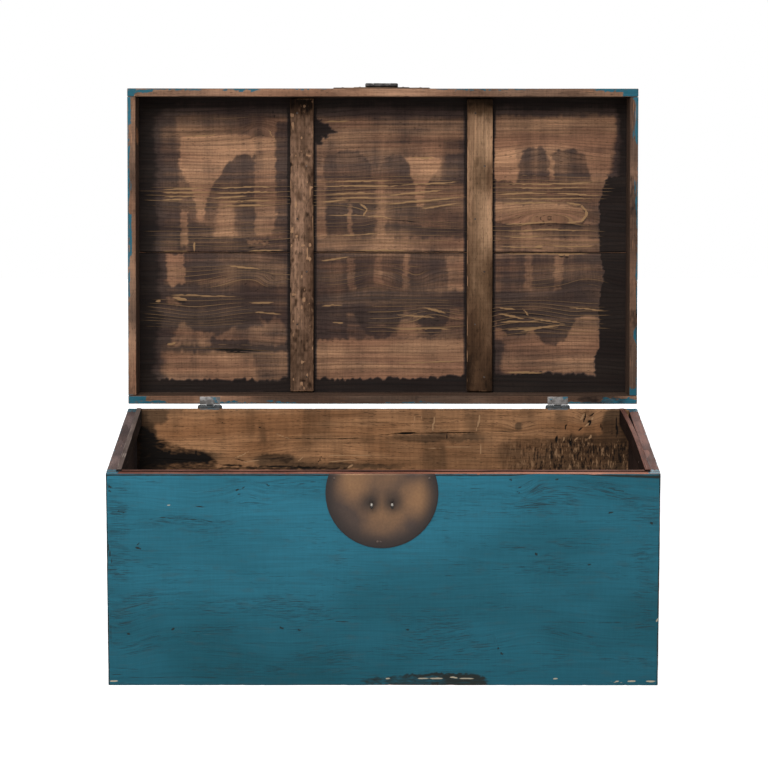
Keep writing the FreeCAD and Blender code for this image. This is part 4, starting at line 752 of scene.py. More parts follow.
# Laps of stain: tone, softness and corners. The two softest laps at the left end are partly painted shade along
# the left rail.
LAPS = (
    (0.5, 4, (-405, 512), (-168, 512), (-168, 470), (-405, 470)),
    (0.19, 1.5, (-361, 480), (-280, 482), (-224, 478), (-222, 446), (-262, 443), (-275, 432),
     (-291, 414), (-300, 400), (-308, 385), (-317, 355), (-320, 330), (-332, 330), (-336, 362),
     (-345, 396), (-358, 410), (-365, 430)),
    (0.64, 2.5, (-262, 443), (-232, 443), (-229, 402), (-229, 300), (-262, 300), (-263, 368),
     (-290, 372), (-306, 385), (-298, 402), (-288, 418), (-272, 436)),
    (0.34, 3, (-292, 366), (-266, 366), (-265, 300), (-301, 300)),
    (0.34, 2.5, (-229, 478), (-193, 478), (-189, 330), (-200, 302), (-228, 302)),
    (0.78, 2, (-191, 505), (-167, 505), (-167, 400), (-191, 400)),
    (0.66, 3, (-190, 400), (-167, 400), (-167, 300), (-190, 300)),
    (0.7, 3, (-425, 336), (-398, 338), (-378, 324), (-352, 333), (-332, 325), (-306, 314), (-300, 298),
     (-425, 298)),
    (0.3, 1.5, (-362, 345), (-350, 345), (-349, 282), (-363, 282)),
    (0.76, 2.5, (-349, 296), (-167, 296), (-167, 272), (-425, 272), (-425, 296), (-364, 296),
     (-362, 280), (-350, 280)),
    (0.4, 1.5, (-246, 295), (-204, 291), (-204, 286), (-246, 288)),
    (0.62, 2, (-355, 269), (-167, 269), (-167, 212), (-355, 212)),
    (0.14, 1.5, (-388, 269), (-356, 269), (-355, 212), (-380, 210), (-388, 222)),
    (0.82, 4, (-425, 212), (-167, 212), (-167, 96), (-425, 96)),
    (0.46, 3, (-390, 192), (-362, 192), (-366, 176), (-384, 178)),
    (0.5, 4, (-362, 150), (-330, 128), (-300, 130), (-262, 142), (-226, 160), (-204, 146), (-190, 158),
     (-172, 140), (-172, 104), (-388, 104), (-372, 126)),
    (0.36, 3, (-350, 129), (-305, 128), (-302, 118), (-330, 110), (-372, 108)),
    (0.82, 3, (-344, 158), (-318, 158), (-284, 160), (-270, 138), (-296, 122), (-322, 132)),
    (0.26, 3, (-402, 92), (-168, 88), (-168, 40), (-402, 40)),
    (0.6, 8, (-235, 92), (-168, 88), (-168, 40), (-222, 40)),
    (0.85, 3, (-305, 116), (-240, 114), (-240, 96), (-305, 96)),
    (0.75, 4, (-262, 160), (-222, 165), (-215, 140), (-262, 132)),
    (0.16, 5, (-330, 84), (-250, 84), (-250, 58), (-330, 58)),
    (0.47, 4, (-124, 514), (151, 514), (151, 400), (-124, 400)),
    (1.4, 1.5, (-124, 512), (-113, 508), (-108, 499), (-96, 501), (-90, 492), (-80, 488), (-93, 484),
     (-99, 475), (-108, 480), (-109, 465), (-124, 470)),
    (0.66, 2, (-103, 398), (-106, 430), (-98, 446), (-74, 451), (-46, 456), (-32, 445), (-24, 428),
     (-20, 398)),
    (0.58, 2.5, (-6, 398), (-3, 425), (6, 445), (30, 449), (44, 440), (54, 424), (57, 398)),
    (0.62, 2.5, (100, 396), (106, 424), (118, 446), (151, 450), (151, 396)),
    (0.12, 2, (40, 443), (102, 440), (104, 426), (88, 411), (76, 385), (70, 346), (60, 346), (58, 390),
     (52, 414)),
    (0.32, 2, (-120, 398), (-103, 398), (-102, 274), (-120, 274)),
    (0.7, 2, (-100, 358), (-38, 358), (-28, 348), (-35, 335), (-15, 328), (-15, 302), (-100, 302)),
    (0.36, 1.5, (-61, 358), (-53, 358), (-53, 302), (-61, 302)),
    (0.58, 1.2, (-40, 357), (0, 357), (60, 352), (145, 347), (145, 320), (80, 322), (10, 328),
     (-35, 335), (-27, 347)),
    (0.7, 2.5, (-14, 324), (148, 316), (148, 300), (-14, 300)),
    (0.36, 3, (-12, 400), (6, 400), (6, 284), (-12, 284)),
    (0.4, 3, (-120, 297), (148, 297), (148, 274), (-120, 274)),
    (0.64, 2.5, (-120, 268), (150, 268), (150, 205), (-120, 205)),
    (0.38, 2, (-64, 262), (-50, 262), (-48, 160), (-62, 160)),
    (0.44, 2, (-14, 266), (-2, 266), (0, 215), (-14, 215)),
    (0.38, 2, (38, 268), (49, 268), (46, 160), (36, 160)),
    (0.42, 3, (114, 266), (146, 266), (146, 180), (118, 180)),
    (0.72, 4, (-120, 204), (150, 204), (150, 165), (-120, 165)),
    (0.85, 4, (-120, 176), (-66, 176), (-64, 116), (-118, 116)),
    (0.22, 3, (-120, 114), (150, 118), (150, 46), (-120, 42)),
    (0.82, 2, (-54, 178), (-44, 148), (-28, 126), (-8, 116), (10, 119), (24, 132), (32, 152), (42, 178)),
    (0.78, 2, (58, 168), (66, 142), (78, 128), (90, 124), (103, 130), (114, 146), (122, 168)),
    (0.34, 2, (34, 150), (58, 150), (64, 118), (24, 118)),
    (0.46, 3, (120, 168), (150, 168), (150, 118), (112, 118)),
    (0.27, 4, (198, 516), (418, 516), (416, 400), (198, 400)),
    (-0.35, 3, (198, 475), (238, 468), (236, 400), (198, 400)),
    (0.64, 2, (240, 398), (243, 430), (250, 452), (268, 462), (288, 458), (297, 440), (297, 398)),
    (0.64, 2, (305, 398), (304, 440), (313, 455), (340, 458), (362, 445), (369, 420), (374, 398)),
    (0.5, 3, (198, 398), (400, 398), (392, 357), (198, 357)),
    (0.2, 1.2, (198, 358), (330, 358), (354, 353), (365, 342), (360, 330), (345, 325), (205, 323),
     (198, 330)),
    (0.62, 2.5, (198, 322), (392, 322), (392, 300), (198, 300)),
    (0.44, 3, (198, 298), (392, 298), (392, 274), (198, 274)),
    (0.34, 2, (245, 330), (266, 330), (268, 276), (246, 276)),
    (0.64, 2.5, (198, 268), (396, 268), (396, 205), (198, 205)),
    (0.4, 2, (256, 266), (269, 266), (268, 200), (254, 200)),
    (0.4, 2, (308, 266), (323, 266), (320, 196), (306, 196)),
    (0.74, 4, (198, 204), (396, 204), (396, 158), (198, 158)),
    (0.36, 3, (198, 160), (392, 156), (390, 50), (198, 50)),
    (0.95, 6, (198, 112), (215, 112), (215, 50), (198, 50)),
    (0.8, 2, (198, 164), (206, 136), (232, 122), (254, 124), (268, 140), (282, 116), (304, 104),
     (326, 112), (338, 136), (350, 164)),
    (1.0, 9, (452, 552), (420, 552), (420, 500), (414, 436), (405, 408), (452, 408)),
    (1.6, 1.5, (452, 412), (402, 408), (395, 384), (388, 352), (388, 312), (392, 262), (396, 238),
     (394, 204), (389, 176), (388, 132), (390, 100), (382, 84), (384, 30), (452, 30)),
    (0.7, 4, (-452, 552), (-366, 552), (-366, 470), (-364, 400), (-366, 272), (-392, 272), (-396, 205),
     (-452, 205)),
    # Partly painted shade: the dark left margin along the left rail.
    (0.95, 14, (-452, 552), (-398, 552), (-396, 20), (-452, 20)),
    (1.5, 14, (-452, 552), (-418, 552), (-406, 340), (-402, 150), (-416, 20), (-452, 20)),
    (1.4, 2.5, (-452, 42), (-200, 42), (-140, 46), (-60, 43), (60, 46), (150, 52), (198, 54), (220, 51),
     (290, 57), (390, 50), (452, 50), (452, 4), (-452, 4)))
# Ridges of grain rubbed pale: from, to and half width.
RIDGES = (
    (-400, 378, -300, 379, 0.8), (-395, 365, -355, 366, 0.8), (-310, 377, -175, 380, 0.9),
    (-300, 356, -185, 355, 0.7), (-310, 369, -240, 372, 0.9), (-112, 390, 40, 391, 0.9),
    (-112, 362, -60, 366, 0.8), (0, 357, 145, 371, 1.2), (0, 373, 115, 384, 1.1), (60, 348, 145, 362, 0.9),
    (200, 375, 300, 378, 1.0), (300, 378, 395, 372, 0.9), (200, 359, 330, 360, 1.0),
    (330, 360, 354, 356, 1.3), (354, 356, 364, 347, 1.4), (364, 347, 365, 338, 1.4),
    (365, 338, 356, 328, 1.3), (356, 328, 330, 325, 1.0), (205, 323, 330, 325, 0.8),
    (-400, 371, -330, 372, 0.8), (-400, 384, -310, 386, 0.7), (-300, 362, -180, 365, 0.7),
    (-310, 386, -170, 390, 0.7), (-112, 398, 30, 400, 0.8), (30, 392, 145, 398, 0.8),
    (-112, 376, 0, 378, 0.8), (-112, 368, 30, 370, 0.7), (200, 392, 395, 396, 0.8),
    (200, 367, 395, 368, 0.8), (-40, 358, -28, 348, 1.3), (-28, 348, -35, 335, 1.2),
    (-35, 335, 20, 327, 0.9), (-395, 274, -345, 274, 0.9), (-245, 274, -172, 274, 0.9),
    (-60, 274, 60, 275, 0.9), (205, 385, 395, 388, 0.7), (205, 311, 385, 312, 0.8),
    (205, 300, 300, 300, 0.7), (300, 284, 385, 283, 0.9), (205, 283, 285, 281, 0.8),
    (205, 270, 385, 270, 0.8), (-280, 249, -215, 241, 1.2), (-112, 256, -60, 263, 1.0),
    (-240, 182, -190, 180, 1.1), (-235, 165, -180, 159, 0.9), (-112, 176, -70, 178, 1.0),
    (-90, 146, -70, 143, 1.0), (70, 174, 115, 163, 1.3), (20, 161, 105, 153, 0.8), (0, 135, 140, 134, 0.7),
    (205, 172, 240, 168, 1.0), (205, 160, 255, 152, 1.0), (205, 146, 285, 148, 1.0),
    (260, 154, 335, 144, 0.9), (240, 128, 335, 144, 1.0), (205, 132, 330, 138, 0.8),
    (262, 158, 250, 172, 0.9), (330, 176, 400, 168, 0.9), (-385, 105, -372, 108, 1.5),
    (-374, 190, -352, 186, 1.8), (-404, 184, -400, 184, 1.5), (222, 56, 290, 55, 1.3),
    (0, 74, 148, 76, 0.7), (-400, 196, -250, 192, 0.7), (-337, 274, -337, 290, 1.4),
    (318, 269, 322, 269, 1.8), (328, 268, 331, 268, 1.8), (275, 283, 285, 283, 1.6),
    (45, 440, 100, 440, 1.0), (-112, 505, -50, 506, 0.8), (-365, 478, -290, 481, 0.8),
    (-205, 492, -190, 470, 0.8), (-112, 338, -20, 336, 0.6), (-112, 300, 20, 304, 0.6))
# Drying cracks and gouges, dark: from, to and half width.
GOUGES = (
    (-330, 97, -195, 96, 2.4), (-300, 93, -225, 91, 1.6), (-110, 128, -45, 127, 1.0),
    (210, 161, 330, 157, 1.0), (-430, 209, -300, 211, 0.9), (-245, 279, -225, 281, 1.6),
    (205, 321, 380, 323, 0.8), (0, 322, 145, 330, 1.0), (-112, 381, 20, 383, 0.8),
    (-400, 372, -300, 373, 0.8), (-300, 361, -180, 364, 0.7), (205, 366, 390, 368, 0.8),
    (200, 395, 300, 398, 0.7), (-400, 300, -250, 297, 0.8), (-300, 287, -180, 289, 0.8),
    (-112, 172, 20, 170, 0.8), (-420, 180, -330, 176, 1.0), (-320, 154, -220, 150, 0.9),
    (200, 178, 300, 181, 0.9), (-200, 540, -190, 500, 1.2), (-340, 258, -180, 254, 0.7),
    (30, 215, 140, 212, 0.7), (210, 212, 380, 208, 0.7))
# Where the late wood stands proud: centres, half sizes and height.
RAISED = (
    (-290, 372, 135, 26, 0.8), (0, 378, 150, 32, 0.9), (300, 385, 110, 24, 1.0), (300, 342, 80, 18, 0.7),
    (290, 300, 110, 26, 0.8), (0, 310, 150, 30, 0.6), (-290, 300, 140, 26, 0.6), (-260, 230, 110, 24, 0.7),
    (-330, 165, 100, 32, 0.7), (-20, 225, 110, 30, 0.5), (60, 155, 90, 34, 0.8), (290, 155, 110, 34, 1.0),
    (330, 225, 80, 24, 0.5), (-290, 95, 120, 12, 0.6), (-280, 500, 110, 18, 0.4), (40, 470, 100, 14, 0.4))

# Brushed stain sinks into the pine unevenly: dull clouds with lap edges, over grain that stands proud.
lid_inside = board_finish("pine, brushed dark stain", pale="C59571", mid="A2755A", ring="5C4130",
                          stain="707A90", scuff="AE8860", dirt="14100D", saw=0.15, saw_mark=(2.8, 30),
                          lines=0.45, painted=True)


def lid_wear(points, on, edge):
    """Painted outside and on the long outer edges; inside, stained laps, rubbed grain and a torn seam, with
    painted shadow under the front rail, along the side rails and beside the battens.
    """
    x, w = points[:, 0], HINGE_Y - points[:, 1]
    inside = on["under"]
    edges = on["left"] | on["right"] | (on["front"] & (w > 500)) | (on["back"] & (w < 50))
    paint = np.where(inside, 0.0, np.where(on["top"] | edges, 1.0, 0.0))
    stain = 0.05 + outlined(x, w, LAPS, 0.55, 61, points)
    stain += 0.13 * drift(points, (13, 160, 900), 62) + 0.2 * drift(points, (170, 4.5, 900), 66)
    stain += 0.14 * drift(points, (45, 22, 900), 63)
    # Painted shadow: a dark band under the front rail, and painted shade within 22 mm of the side rails.
    stain += 0.8 * (1 - rise(548 - w, 0, 48)) + 0.4 * (1 - rise(435 - np.abs(x), 0, 22))
    # Darker within a few mm of each batten: painted shadow of the battens, and dirt.
    beside = np.min([np.abs(np.abs(x - middle) - half) for middle, half in BATTENS], axis=0)
    stain += 1.1 * (1 - rise(beside, 1, 7))
    stain = np.where(inside, stain, 0.2)
    relief = inside * brushed(x, w, RAISED, 0, 69, points, edge=9)
    seam_gap = np.abs(w - SEAM)
    cut = 0.28 + 0.2 * drift(points, (130, 9, 90), 64)
    cut += inside * 1.2 * (1 - rise(seam_gap, 0.5, 4 + 3 * drift(points, (30, 900, 900), 65)))
    cut *= 1 - ((on["back"] | on["front"]) & (seam_gap < 10))
    gouged = inside * marked(x, w, GOUGES, points, 68, sway=2.0)
    ridges = inside * marked(x, w, RIDGES, points, 68, sway=2.0, spread=1.5)
    hollows = inside * marked(x, w + 4.4, RIDGES, points, 68, sway=2.0, spread=2.2)
    cut += 0.5 * gouged + 0.3 * hollows * (1 - ridges) - 0.12 * ridges
    dirt = inside * np.max([0.75 * (1 - rise(seam_gap, 0.8, 2.6)), 0.8 * gouged, 0.55 * hollows], axis=0)
    dirt = np.maximum(dirt, 0.5 * on["top"] * (1 - rise(edge, 0.5, 3)))
    return np.maximum(cut, 0), {"paint": paint, "stain": stain, "relief": relief, "dirt": dirt,
                                "pale": ridges}


plank("lid_board_front", (2.4, 1.75), lid_wear, lid_inside, "lid", lid_place,
      seed=41, arris=1.0, closed=(0, 0.45), plain="top",
      knots=((-220, HINGE_Y - 495, 24, 14, 14), (300, HINGE_Y - 342, 75, 16, 22),
             (-20, HINGE_Y - 342, 40, 14, -10), (290, HINGE_Y - 452, 60, 20, 12),
             (-60, HINGE_Y - 430, 70, 24, -10)),
      splits=((200, 380, HINGE_Y - 322, 2, 0.8, 0.8, 0, "under"),
              (0, 145, HINGE_Y - 324, 10, 0.8, 0.8, 0, "under")))
plank("lid_board_rear", (2.4, 1.75), lid_wear, lid_inside, "lid", lid_place,
      seed=43, arris=1.0, closed=(0.45, 0), plain="top",
      knots=((-240, HINGE_Y - 225, 60, 18, 16), (-200, HINGE_Y - 222, 18, 10, -10),
             (-20, HINGE_Y - 225, 40, 20, 14), (60, HINGE_Y - 225, 30, 18, -12),
             (260, HINGE_Y - 160, 70, 30, 12), (-330, HINGE_Y - 160, 60, 26, -12),
             (370, HINGE_Y - 222, 50, 20, 16), (90, HINGE_Y - 160, 40, 16, 10)),
      splits=((-330, -190, HINGE_Y - 97, 2, 1.4, 1.2, 0, "under"),
              (-110, -40, HINGE_Y - 128, 2, 0.8, 0.9, 0, "under"),
              (210, 330, HINGE_Y - 160, 6, 0.8, 0.9, 0, "under")))


# ---------------------------------------------------------------------------------------------
# Lid frame
# Four rails under the lid boards, nailed at the corners. Their edges are the lid's rim: brown wood
# rubbed bare, with teal left at the corners and along the outside.
# ---------------------------------------------------------------------------------------------
# Painted pine again, whose bare rim is browner than the box's.
rail_finish = board_finish("teal painted pine rail", pale="BE9274", mid="9E745A", ring="6A4836",
                           scuff="B88664", dirt="1A1310", saw=0.15, lines=0.35, painted=True)
# Paint left on the rims: place along the rail, distance from its inside, half sizes and strength. A chip
# inside the left rail is given by its distance from the hinge and its height.
RAIL_PAINT = {
    "front": ((-432, 11, 26, 7, 0.62), (-446, 4, 8, 12, 0.6), (438, 8, 18, 12, 0.7), (412, 13, 42, 5, 0.7),
              (-360, 14, 40, 3, 0.6), (-250, 14, 36, 4, 0.62), (-140, 14, 16, 3, 0.55),
              (180, 14, 120, 2.5, 0.5), (-400, 13, 30, 3, 0.5)),
    "back": ((-434, 8, 18, 12, 0.7), (-405, 12, 26, 4, 0.6), (-258, 13, 34, 4, 0.6),
             (-180, 13, 30, 3, 0.55), (420, 11, 34, 8, 0.66), (340, 13, 60, 4, 0.6), (60, 13, 60, 3, 0.5)),
    "left": ((270, 8, 10, 30, 0.7), (-250, 11, 34, 7, 0.62), (-272, 8, 10, 10, 0.62),
             (-20, 13, 130, 3.6, 0.64), (-180, 13, 40, 3, 0.5)),
    "right": ((262, 8, 14, 30, 0.7), (-268, 10, 16, 8, 0.7), (-215, 12, 36, 6, 0.66),
              (-60, 13, 60, 3, 0.55), (100, 13, 110, 3.5, 0.66))}
CHIPPED = ((480, 50, 14, 34, 1.0),)
for side, inner, seed in (("front", "back", 47), ("back", "front", 53),
                          ("left", "right", 59), ("right", "left", 61)):
    def rail_wear(points, on, edge, side=side, inner=inner, seed=seed):
        """Paint outside and on the ends, what is left of it on the rim, and a chip inside the left rail."""
        run, depth = (0, 1) if side in ("front", "back") else (1, 0)
        low, high = points[:, depth].min(), points[:, depth].max()
        from_inside = points[:, depth] - low if side in ("back", "right") else high - points[:, depth]
        paint = np.where(on["left"] | on["right"] | on["front"] | on["back"], 1.0, 0.0)
        rim_paint = brushed(points[:, run], from_inside, RAIL_PAINT[side], 0.0, seed + 4, points)
        outer_edge = 0.36 * rise(from_inside, 10.5, 13.5)
        paint = np.where(on["under"], np.maximum(rim_paint, outer_edge), paint)
        paint = np.where(on[inner] | on["top"], 0.0, paint)
        cut = 0.12 + 0.12 * drift(points, (70, 70, 12), seed)
        cut += 0.35 * on["under"] * rise(drift(points, (26, 26, 26), seed + 1), 0.2, 0.9)
        stain = 0.35 + 0.3 * drift(points, (90, 60, 30), seed + 2)
        stain += {"right": 0.35, "left": 0.15}.get(side, 0)
        if side == "front":
            stain += 0.25 * rise(points[:, 0], 0, 120)
        if side == "back":
            stain += 0.5 * rise(points[:, 0], -330, -150) * (1 - 0.4 * rise(points[:, 0], 120, 330))
        stain = np.where(on["under"], stain, 1.05)
        from_hinge, height = HINGE_Y - points[:, 1], points[:, 2] - points[:, 2].min()
        chip = brushed(from_hinge, height, CHIPPED, 0, seed + 6, points) * on[inner] * (side == "left")
        dirt = 0.5 * on[side] * (1 - rise(edge, 0.5, 2.5))
        dirt = np.maximum(dirt, on["under"] * 0.6 * rise(drift(points, (60, 60, 5), seed + 5), 0.45, 0.8))
        scuff = on["under"] * 0.35 * rise(drift(points, (40, 40, 6), seed + 3), 0.0, 0.7)
        return cut + 0.6 * chip, {"paint": paint, "stain": stain, "scuff": scuff, "dirt": dirt, "pale": chip}

    plank(f"lid_{side}_rail", (4.0, 2.4), rail_wear, rail_finish, "lid", lid_place,
          seed=seed, arris=1.1, worn=0.9, chips=1.8)


# ---------------------------------------------------------------------------------------------
# Battens
# Two rough battens nailed across the lid boards to keep them flat. The left one is hewn and pitted,
# the right one sawn and clouded with stain; both have splintered, paler edges.
# ---------------------------------------------------------------------------------------------
# Hewn wood looks duller than sawn: growth lines and saw marks are faint beside its pits, dust and flecks.
for side, seed, pale, mid in (("left", 67, "AC866C", "8A6852"), ("right", 71, "C89E7A", "A67E60")):
    batten_finish = board_finish(f"hewn batten, {side}", pale=pale, mid=mid, ring="5E4436", stain="8A8682",
                                 scuff="B88E6C", saw=0.1, fleck=(10, 4), lines=0.2)

    def batten_wear(points, on, edge, hewn=side == "left", seed=seed):
        """Pits and hollows of the adze, deep on the hewn one, stained clouds, splintered edges, and painted
        shadow at the top under the front rail.
        """
        w = HINGE_Y - points[:, 1]
        face = on["under"]
        rough = 1.0 if hewn else 0.3
        pits = rise(drift(points, (5, 9, 9), seed) + 0.5 * drift(points, (12, 30, 30), seed + 1), 0.35, 0.9)
        hollows = rise(drift(points, (26, 48, 26), seed + 2), -0.1, 0.6)
        cut = 0.25 + 0.25 * drift(points, (16, 60, 16), seed + 3)
        cut += rough * (1.5 * pits + 0.9 * hollows * face)
        cloudy = 0.6 * drift(points, (24, 60, 30), seed + 4) + 0.18 * drift(points, (9, 22, 9), seed + 5)
        cloudy += 0.35 * rough * drift(points, (4, 7, 7), seed + 9)
        stain = 0.55 * cloudy + (0.48 if hewn else 0.38 + 0.5 * (1 - rise(w, 230, 330)))
        stain += (0.1 if hewn else 0.25) * (1 - rise(w, 60, 200))
        # Painted shadow under the front rail, darkening the top of each batten.
        stain += 0.9 * rise(w, 505, 545)
        stain = np.where(face, stain, 0.9) + (0.35 if hewn else 0.15) * pits
        scuff = 0.85 * rise(drift(points, (5, 8, 8), seed + 6), 0.35, 0.7) * rough
        splintered = (1 - rise(edge, 0.8, 2.5)) * rise(drift(points, (30, 22, 30), seed + 7), 0.0, 0.5)
        torn = (0.4 if hewn else 0.1) * rise(drift(points, (16, 40, 16), seed + 8), -0.4, 0.4)
        return np.maximum(cut, 0), {"stain": stain, "scuff": face * np.maximum(scuff, 0.7 * splintered),
                                    "dirt": face * 0.55 * pits * rough, "torn": face * torn}

    plank(f"{side}_batten", (1.9, 1.4), batten_wear, batten_finish, "lid", lid_place,
          seed=seed, arris=1.2, worn=1.6, chips=3.0 if side == "left" else 1.6)


# ---------------------------------------------------------------------------------------------
# Lock plate
# A round of brass sheet, cut in two along the rim and pinned on: dark brown patina, rubbed golden in
# cloudy patches and darkest at the rim and round the lock eyes.
# ---------------------------------------------------------------------------------------------
LOCK_X, DISC_RADIUS = -2.2, 91.5
eye_low, eye_high = drawn_box("left_lock_eye", Matrix())
eye_z = (eye_low[2] + eye_high[2]) / 2
plate_low, plate_high = drawn_box("lower_lock_plate", Matrix())
disc_z = plate_low[2] + DISC_RADIUS


def brass_finish():
    """Brass sheet under a dark brown patina. Patterns are in radii of the plate.

    Where it is rubbed the metal shows through golden, and shines more than the dull patina round it.
    """
    material, tree = bare_finish("dark patinated brass")
    node = partial(add_node, tree)
    at_disc = node("Attribute", out="Vector", attribute_name="disc")
    mottle = node("TexNoise", {"Vector": at_disc, "Scale": 2.3, "Detail": 2.0})
    fine = node("TexNoise", {"Vector": at_disc, "Scale": 22.0, "Detail": 3.0})

    def glow_at(x, z, reach, strength=1.0):
        """A soft round cloud about a place on the plate."""
        apart = node("VectorMath", (at_disc, (x, 0.0, z)), out="Value", operation="DISTANCE")
        return node("MapRange", (apart, reach, 0.0, 0.0, strength), **SOFT)

    gold = glow_at(-0.48, 0.22, 0.62)
    for patch in ((0.62, -0.12, 0.62, 0.85), (0.1, -0.36, 0.62, 0.75), (0.0, 0.25, 0.8, 0.45)):
        gold = node("Math", (gold, glow_at(*patch)), **MOST)
    mottled = node("Math", (node("Math", (mottle, 0.5), **MINUS), 0.9), **TIMES)
    gold = node("Math", (gold, mottled), **PLUS)
    outward = node("VectorMath", (at_disc,), out="Value", operation="LENGTH")
    outward = node("Math", (outward, node("Math", (mottle, 0.12), **TIMES)), **PLUS)
    rim_dark = node("MapRange", (outward, 0.74, 1.06), **SOFT)
    eye_dark = node("Math", (glow_at(-0.183, -0.17, 0.32, 0.95), glow_at(0.183, -0.17, 0.32, 0.95)), **MOST)
    colour = node("MixRGB", (gold, linear("44362F"), linear("825F40")))
    colour = node("MixRGB", (rim_dark, colour, linear("27201E")))
    colour = node("MixRGB", (eye_dark, colour, linear("2C2420")))
    speck = node("MapRange", (fine, 0.3, 0.7, 0.9, 1.08))
    colour = node("MixRGB", (1.0, colour, speck), blend_type="MULTIPLY")
    dull = node("MapRange", (gold, 0.0, 1.0, 0.6, 0.42))
    beaten = node("Bump", {"Height": fine, "Strength": 0.25, "Distance": 0.0004})
    shader = node("BsdfPrincipled", {"Base Color": colour, "Metallic": 0.55, "Roughness": dull,
                                     "Normal": beaten})
    node("OutputMaterial", (shader,))
    return material


brass = brass_finish()


def sheet_disc(node, body, place, cut_z, upper):
    """Half of the round plate: rows of points across the circle, with a rolled rim and beaten hollows."""
    low, high = drawn_box(node, place)
    shares = np.sin(np.linspace(-1, 1, 91) * math.pi / 2)
    reach = math.acos((-cut_z if upper else cut_z) / DISC_RADIUS)
    angles = np.linspace(math.pi - 0.03, reach, 31 if upper else 61)
    points, faces = lattice_shell([shares, np.array([0.0, 0.35, 0.75, 1.0]), -angles])
    angle = -points[:, 2]
    height = DISC_RADIUS * np.cos(angle) * (-1 if upper else 1)
    half = DISC_RADIUS * np.sin(angle)
    x, layer = points[:, 0] * half, points[:, 1]
    radial = np.hypot(x, height) / DISC_RADIUS
    hollow = 0.3 * rise(drift(np.stack([x, x * 0, height], 1), (24, 24, 24), 81), -0.2, 1)
    rolled = 0.55 * rise(radial, 0.975, 1.0)
    front = low[1] + hollow + rolled
    depth = front + (high[1] - front) * layer
    centre = low[2] - cut_z if upper else disc_z
    out = np.stack([x + LOCK_X, depth, height + centre], 1)
    if upper:
        faces = [face[::-1] for face in faces]
    disc = np.stack([x, x * 0, height], 1) / DISC_RADIUS
    solid(node, out, faces, place, brass, {"disc": disc}, body)


sheet_disc("lower_lock_plate", "chest", Matrix(), plate_high[2] - disc_z, upper=False)
upper_low, upper_high = drawn_box("upper_lock_plate", lid_place)
sheet_disc("upper_lock_plate", "lid", lid_place, DISC_RADIUS - (upper_high[2] - upper_low[2]), upper=True)


# ---------------------------------------------------------------------------------------------
# Ironwork: hinges, hasp and lock eyes
# Forged and bent from strip, with their corners rounded by the hammer and by use. The hinges are
# greyed steel with teal caught in the knuckles, the hasp and eyes dark oiled iron.
# ---------------------------------------------------------------------------------------------
def iron_finish(name, light, dark, paint_share, metal, rough, band=None):
    """Worn iron or steel: cloudy oxide, bright rubbed patches, pits and stray paint.

    Oxide and oil dull the metal, so it is only partly metallic, and the rubbed patches shine softly. The
    pits are 1.4 mm wide, which is coarser than real ones so that they show. A band round a line along X,
    given by its place, reach and colour, takes that colour: blackened on the hinge knuckles, and pale on
    the lock eyes as a painted highlight.
    """
    material, tree = bare_finish(name)
    node = partial(add_node, tree)
    place = node("TexCoord", out="Object")
    cloudy = node("TexNoise", {"Vector": place, "Scale": 110.0, "Detail": 2.0})
    pitted = node("TexNoise", {"Vector": place, "Scale": 700.0, "Detail": 2.0})
    smear = node("TexNoise", {"Vector": place, "Scale": 90.0, "Detail": 3.0})
    colour = node("MixRGB", (node("MapRange", (cloudy, 0.38, 0.62), **SOFT), linear(dark), linear(light)))
    stray = node("MapRange", (smear, 0.7 - paint_share, 0.76 - paint_share), **SOFT)
    colour = node("MixRGB", (stray, colour, linear("2F6678")))
    if band:
        (line_y, line_z), reach, tone = band
        across = node("VectorMath", (place, (0.0, 1.0, 1.0)), operation="MULTIPLY")
        from_line = node("VectorMath", (across, (0.0, line_y, line_z)), out="Value", operation="DISTANCE")
        near = node("MapRange", (from_line, reach * 1.15, reach * 0.9), **SOFT)
        colour = node("MixRGB", (near, colour, linear(tone)))
    gloss = node("MapRange", (cloudy, 0.3, 0.7, rough + 0.12, rough - 0.08))
    metallic = node("MapRange", (stray, 0.0, 1.0, metal, 0.0))
    pits = node("Bump", {"Height": pitted, "Strength": 0.5, "Distance": 0.0004})
    shader = node("BsdfPrincipled", {"Base Color": colour, "Metallic": metallic, "Roughness": gloss,
                                     "Normal": pits})
    node("OutputMaterial", (shader,))
    return material


# The knuckles of the hinges are blackened round the pin, and each lock eye has a painted highlight: a pale band
# along its top.
steel = iron_finish("greyed hinge steel", "8E8A88", "66625F", 0.14, 0.4, 0.5,
                    band=((hinge_axis.y, hinge_axis.z), 0.0048, "171E21"))
dark_iron = iron_finish("oiled forged iron", "44403D", "262322", 0.0, 0.6, 0.45)
eye_iron = iron_finish("lock eye iron, rubbed bright", "3A332E", "241F1D", 0.0, 0.5, 0.42,
                       # The pale band is a painted highlight along the top of each eye.
                       band=((eye_low[1] / 1000, (eye_z + 2.8) / 1000), 0.0026, "8E8880"))

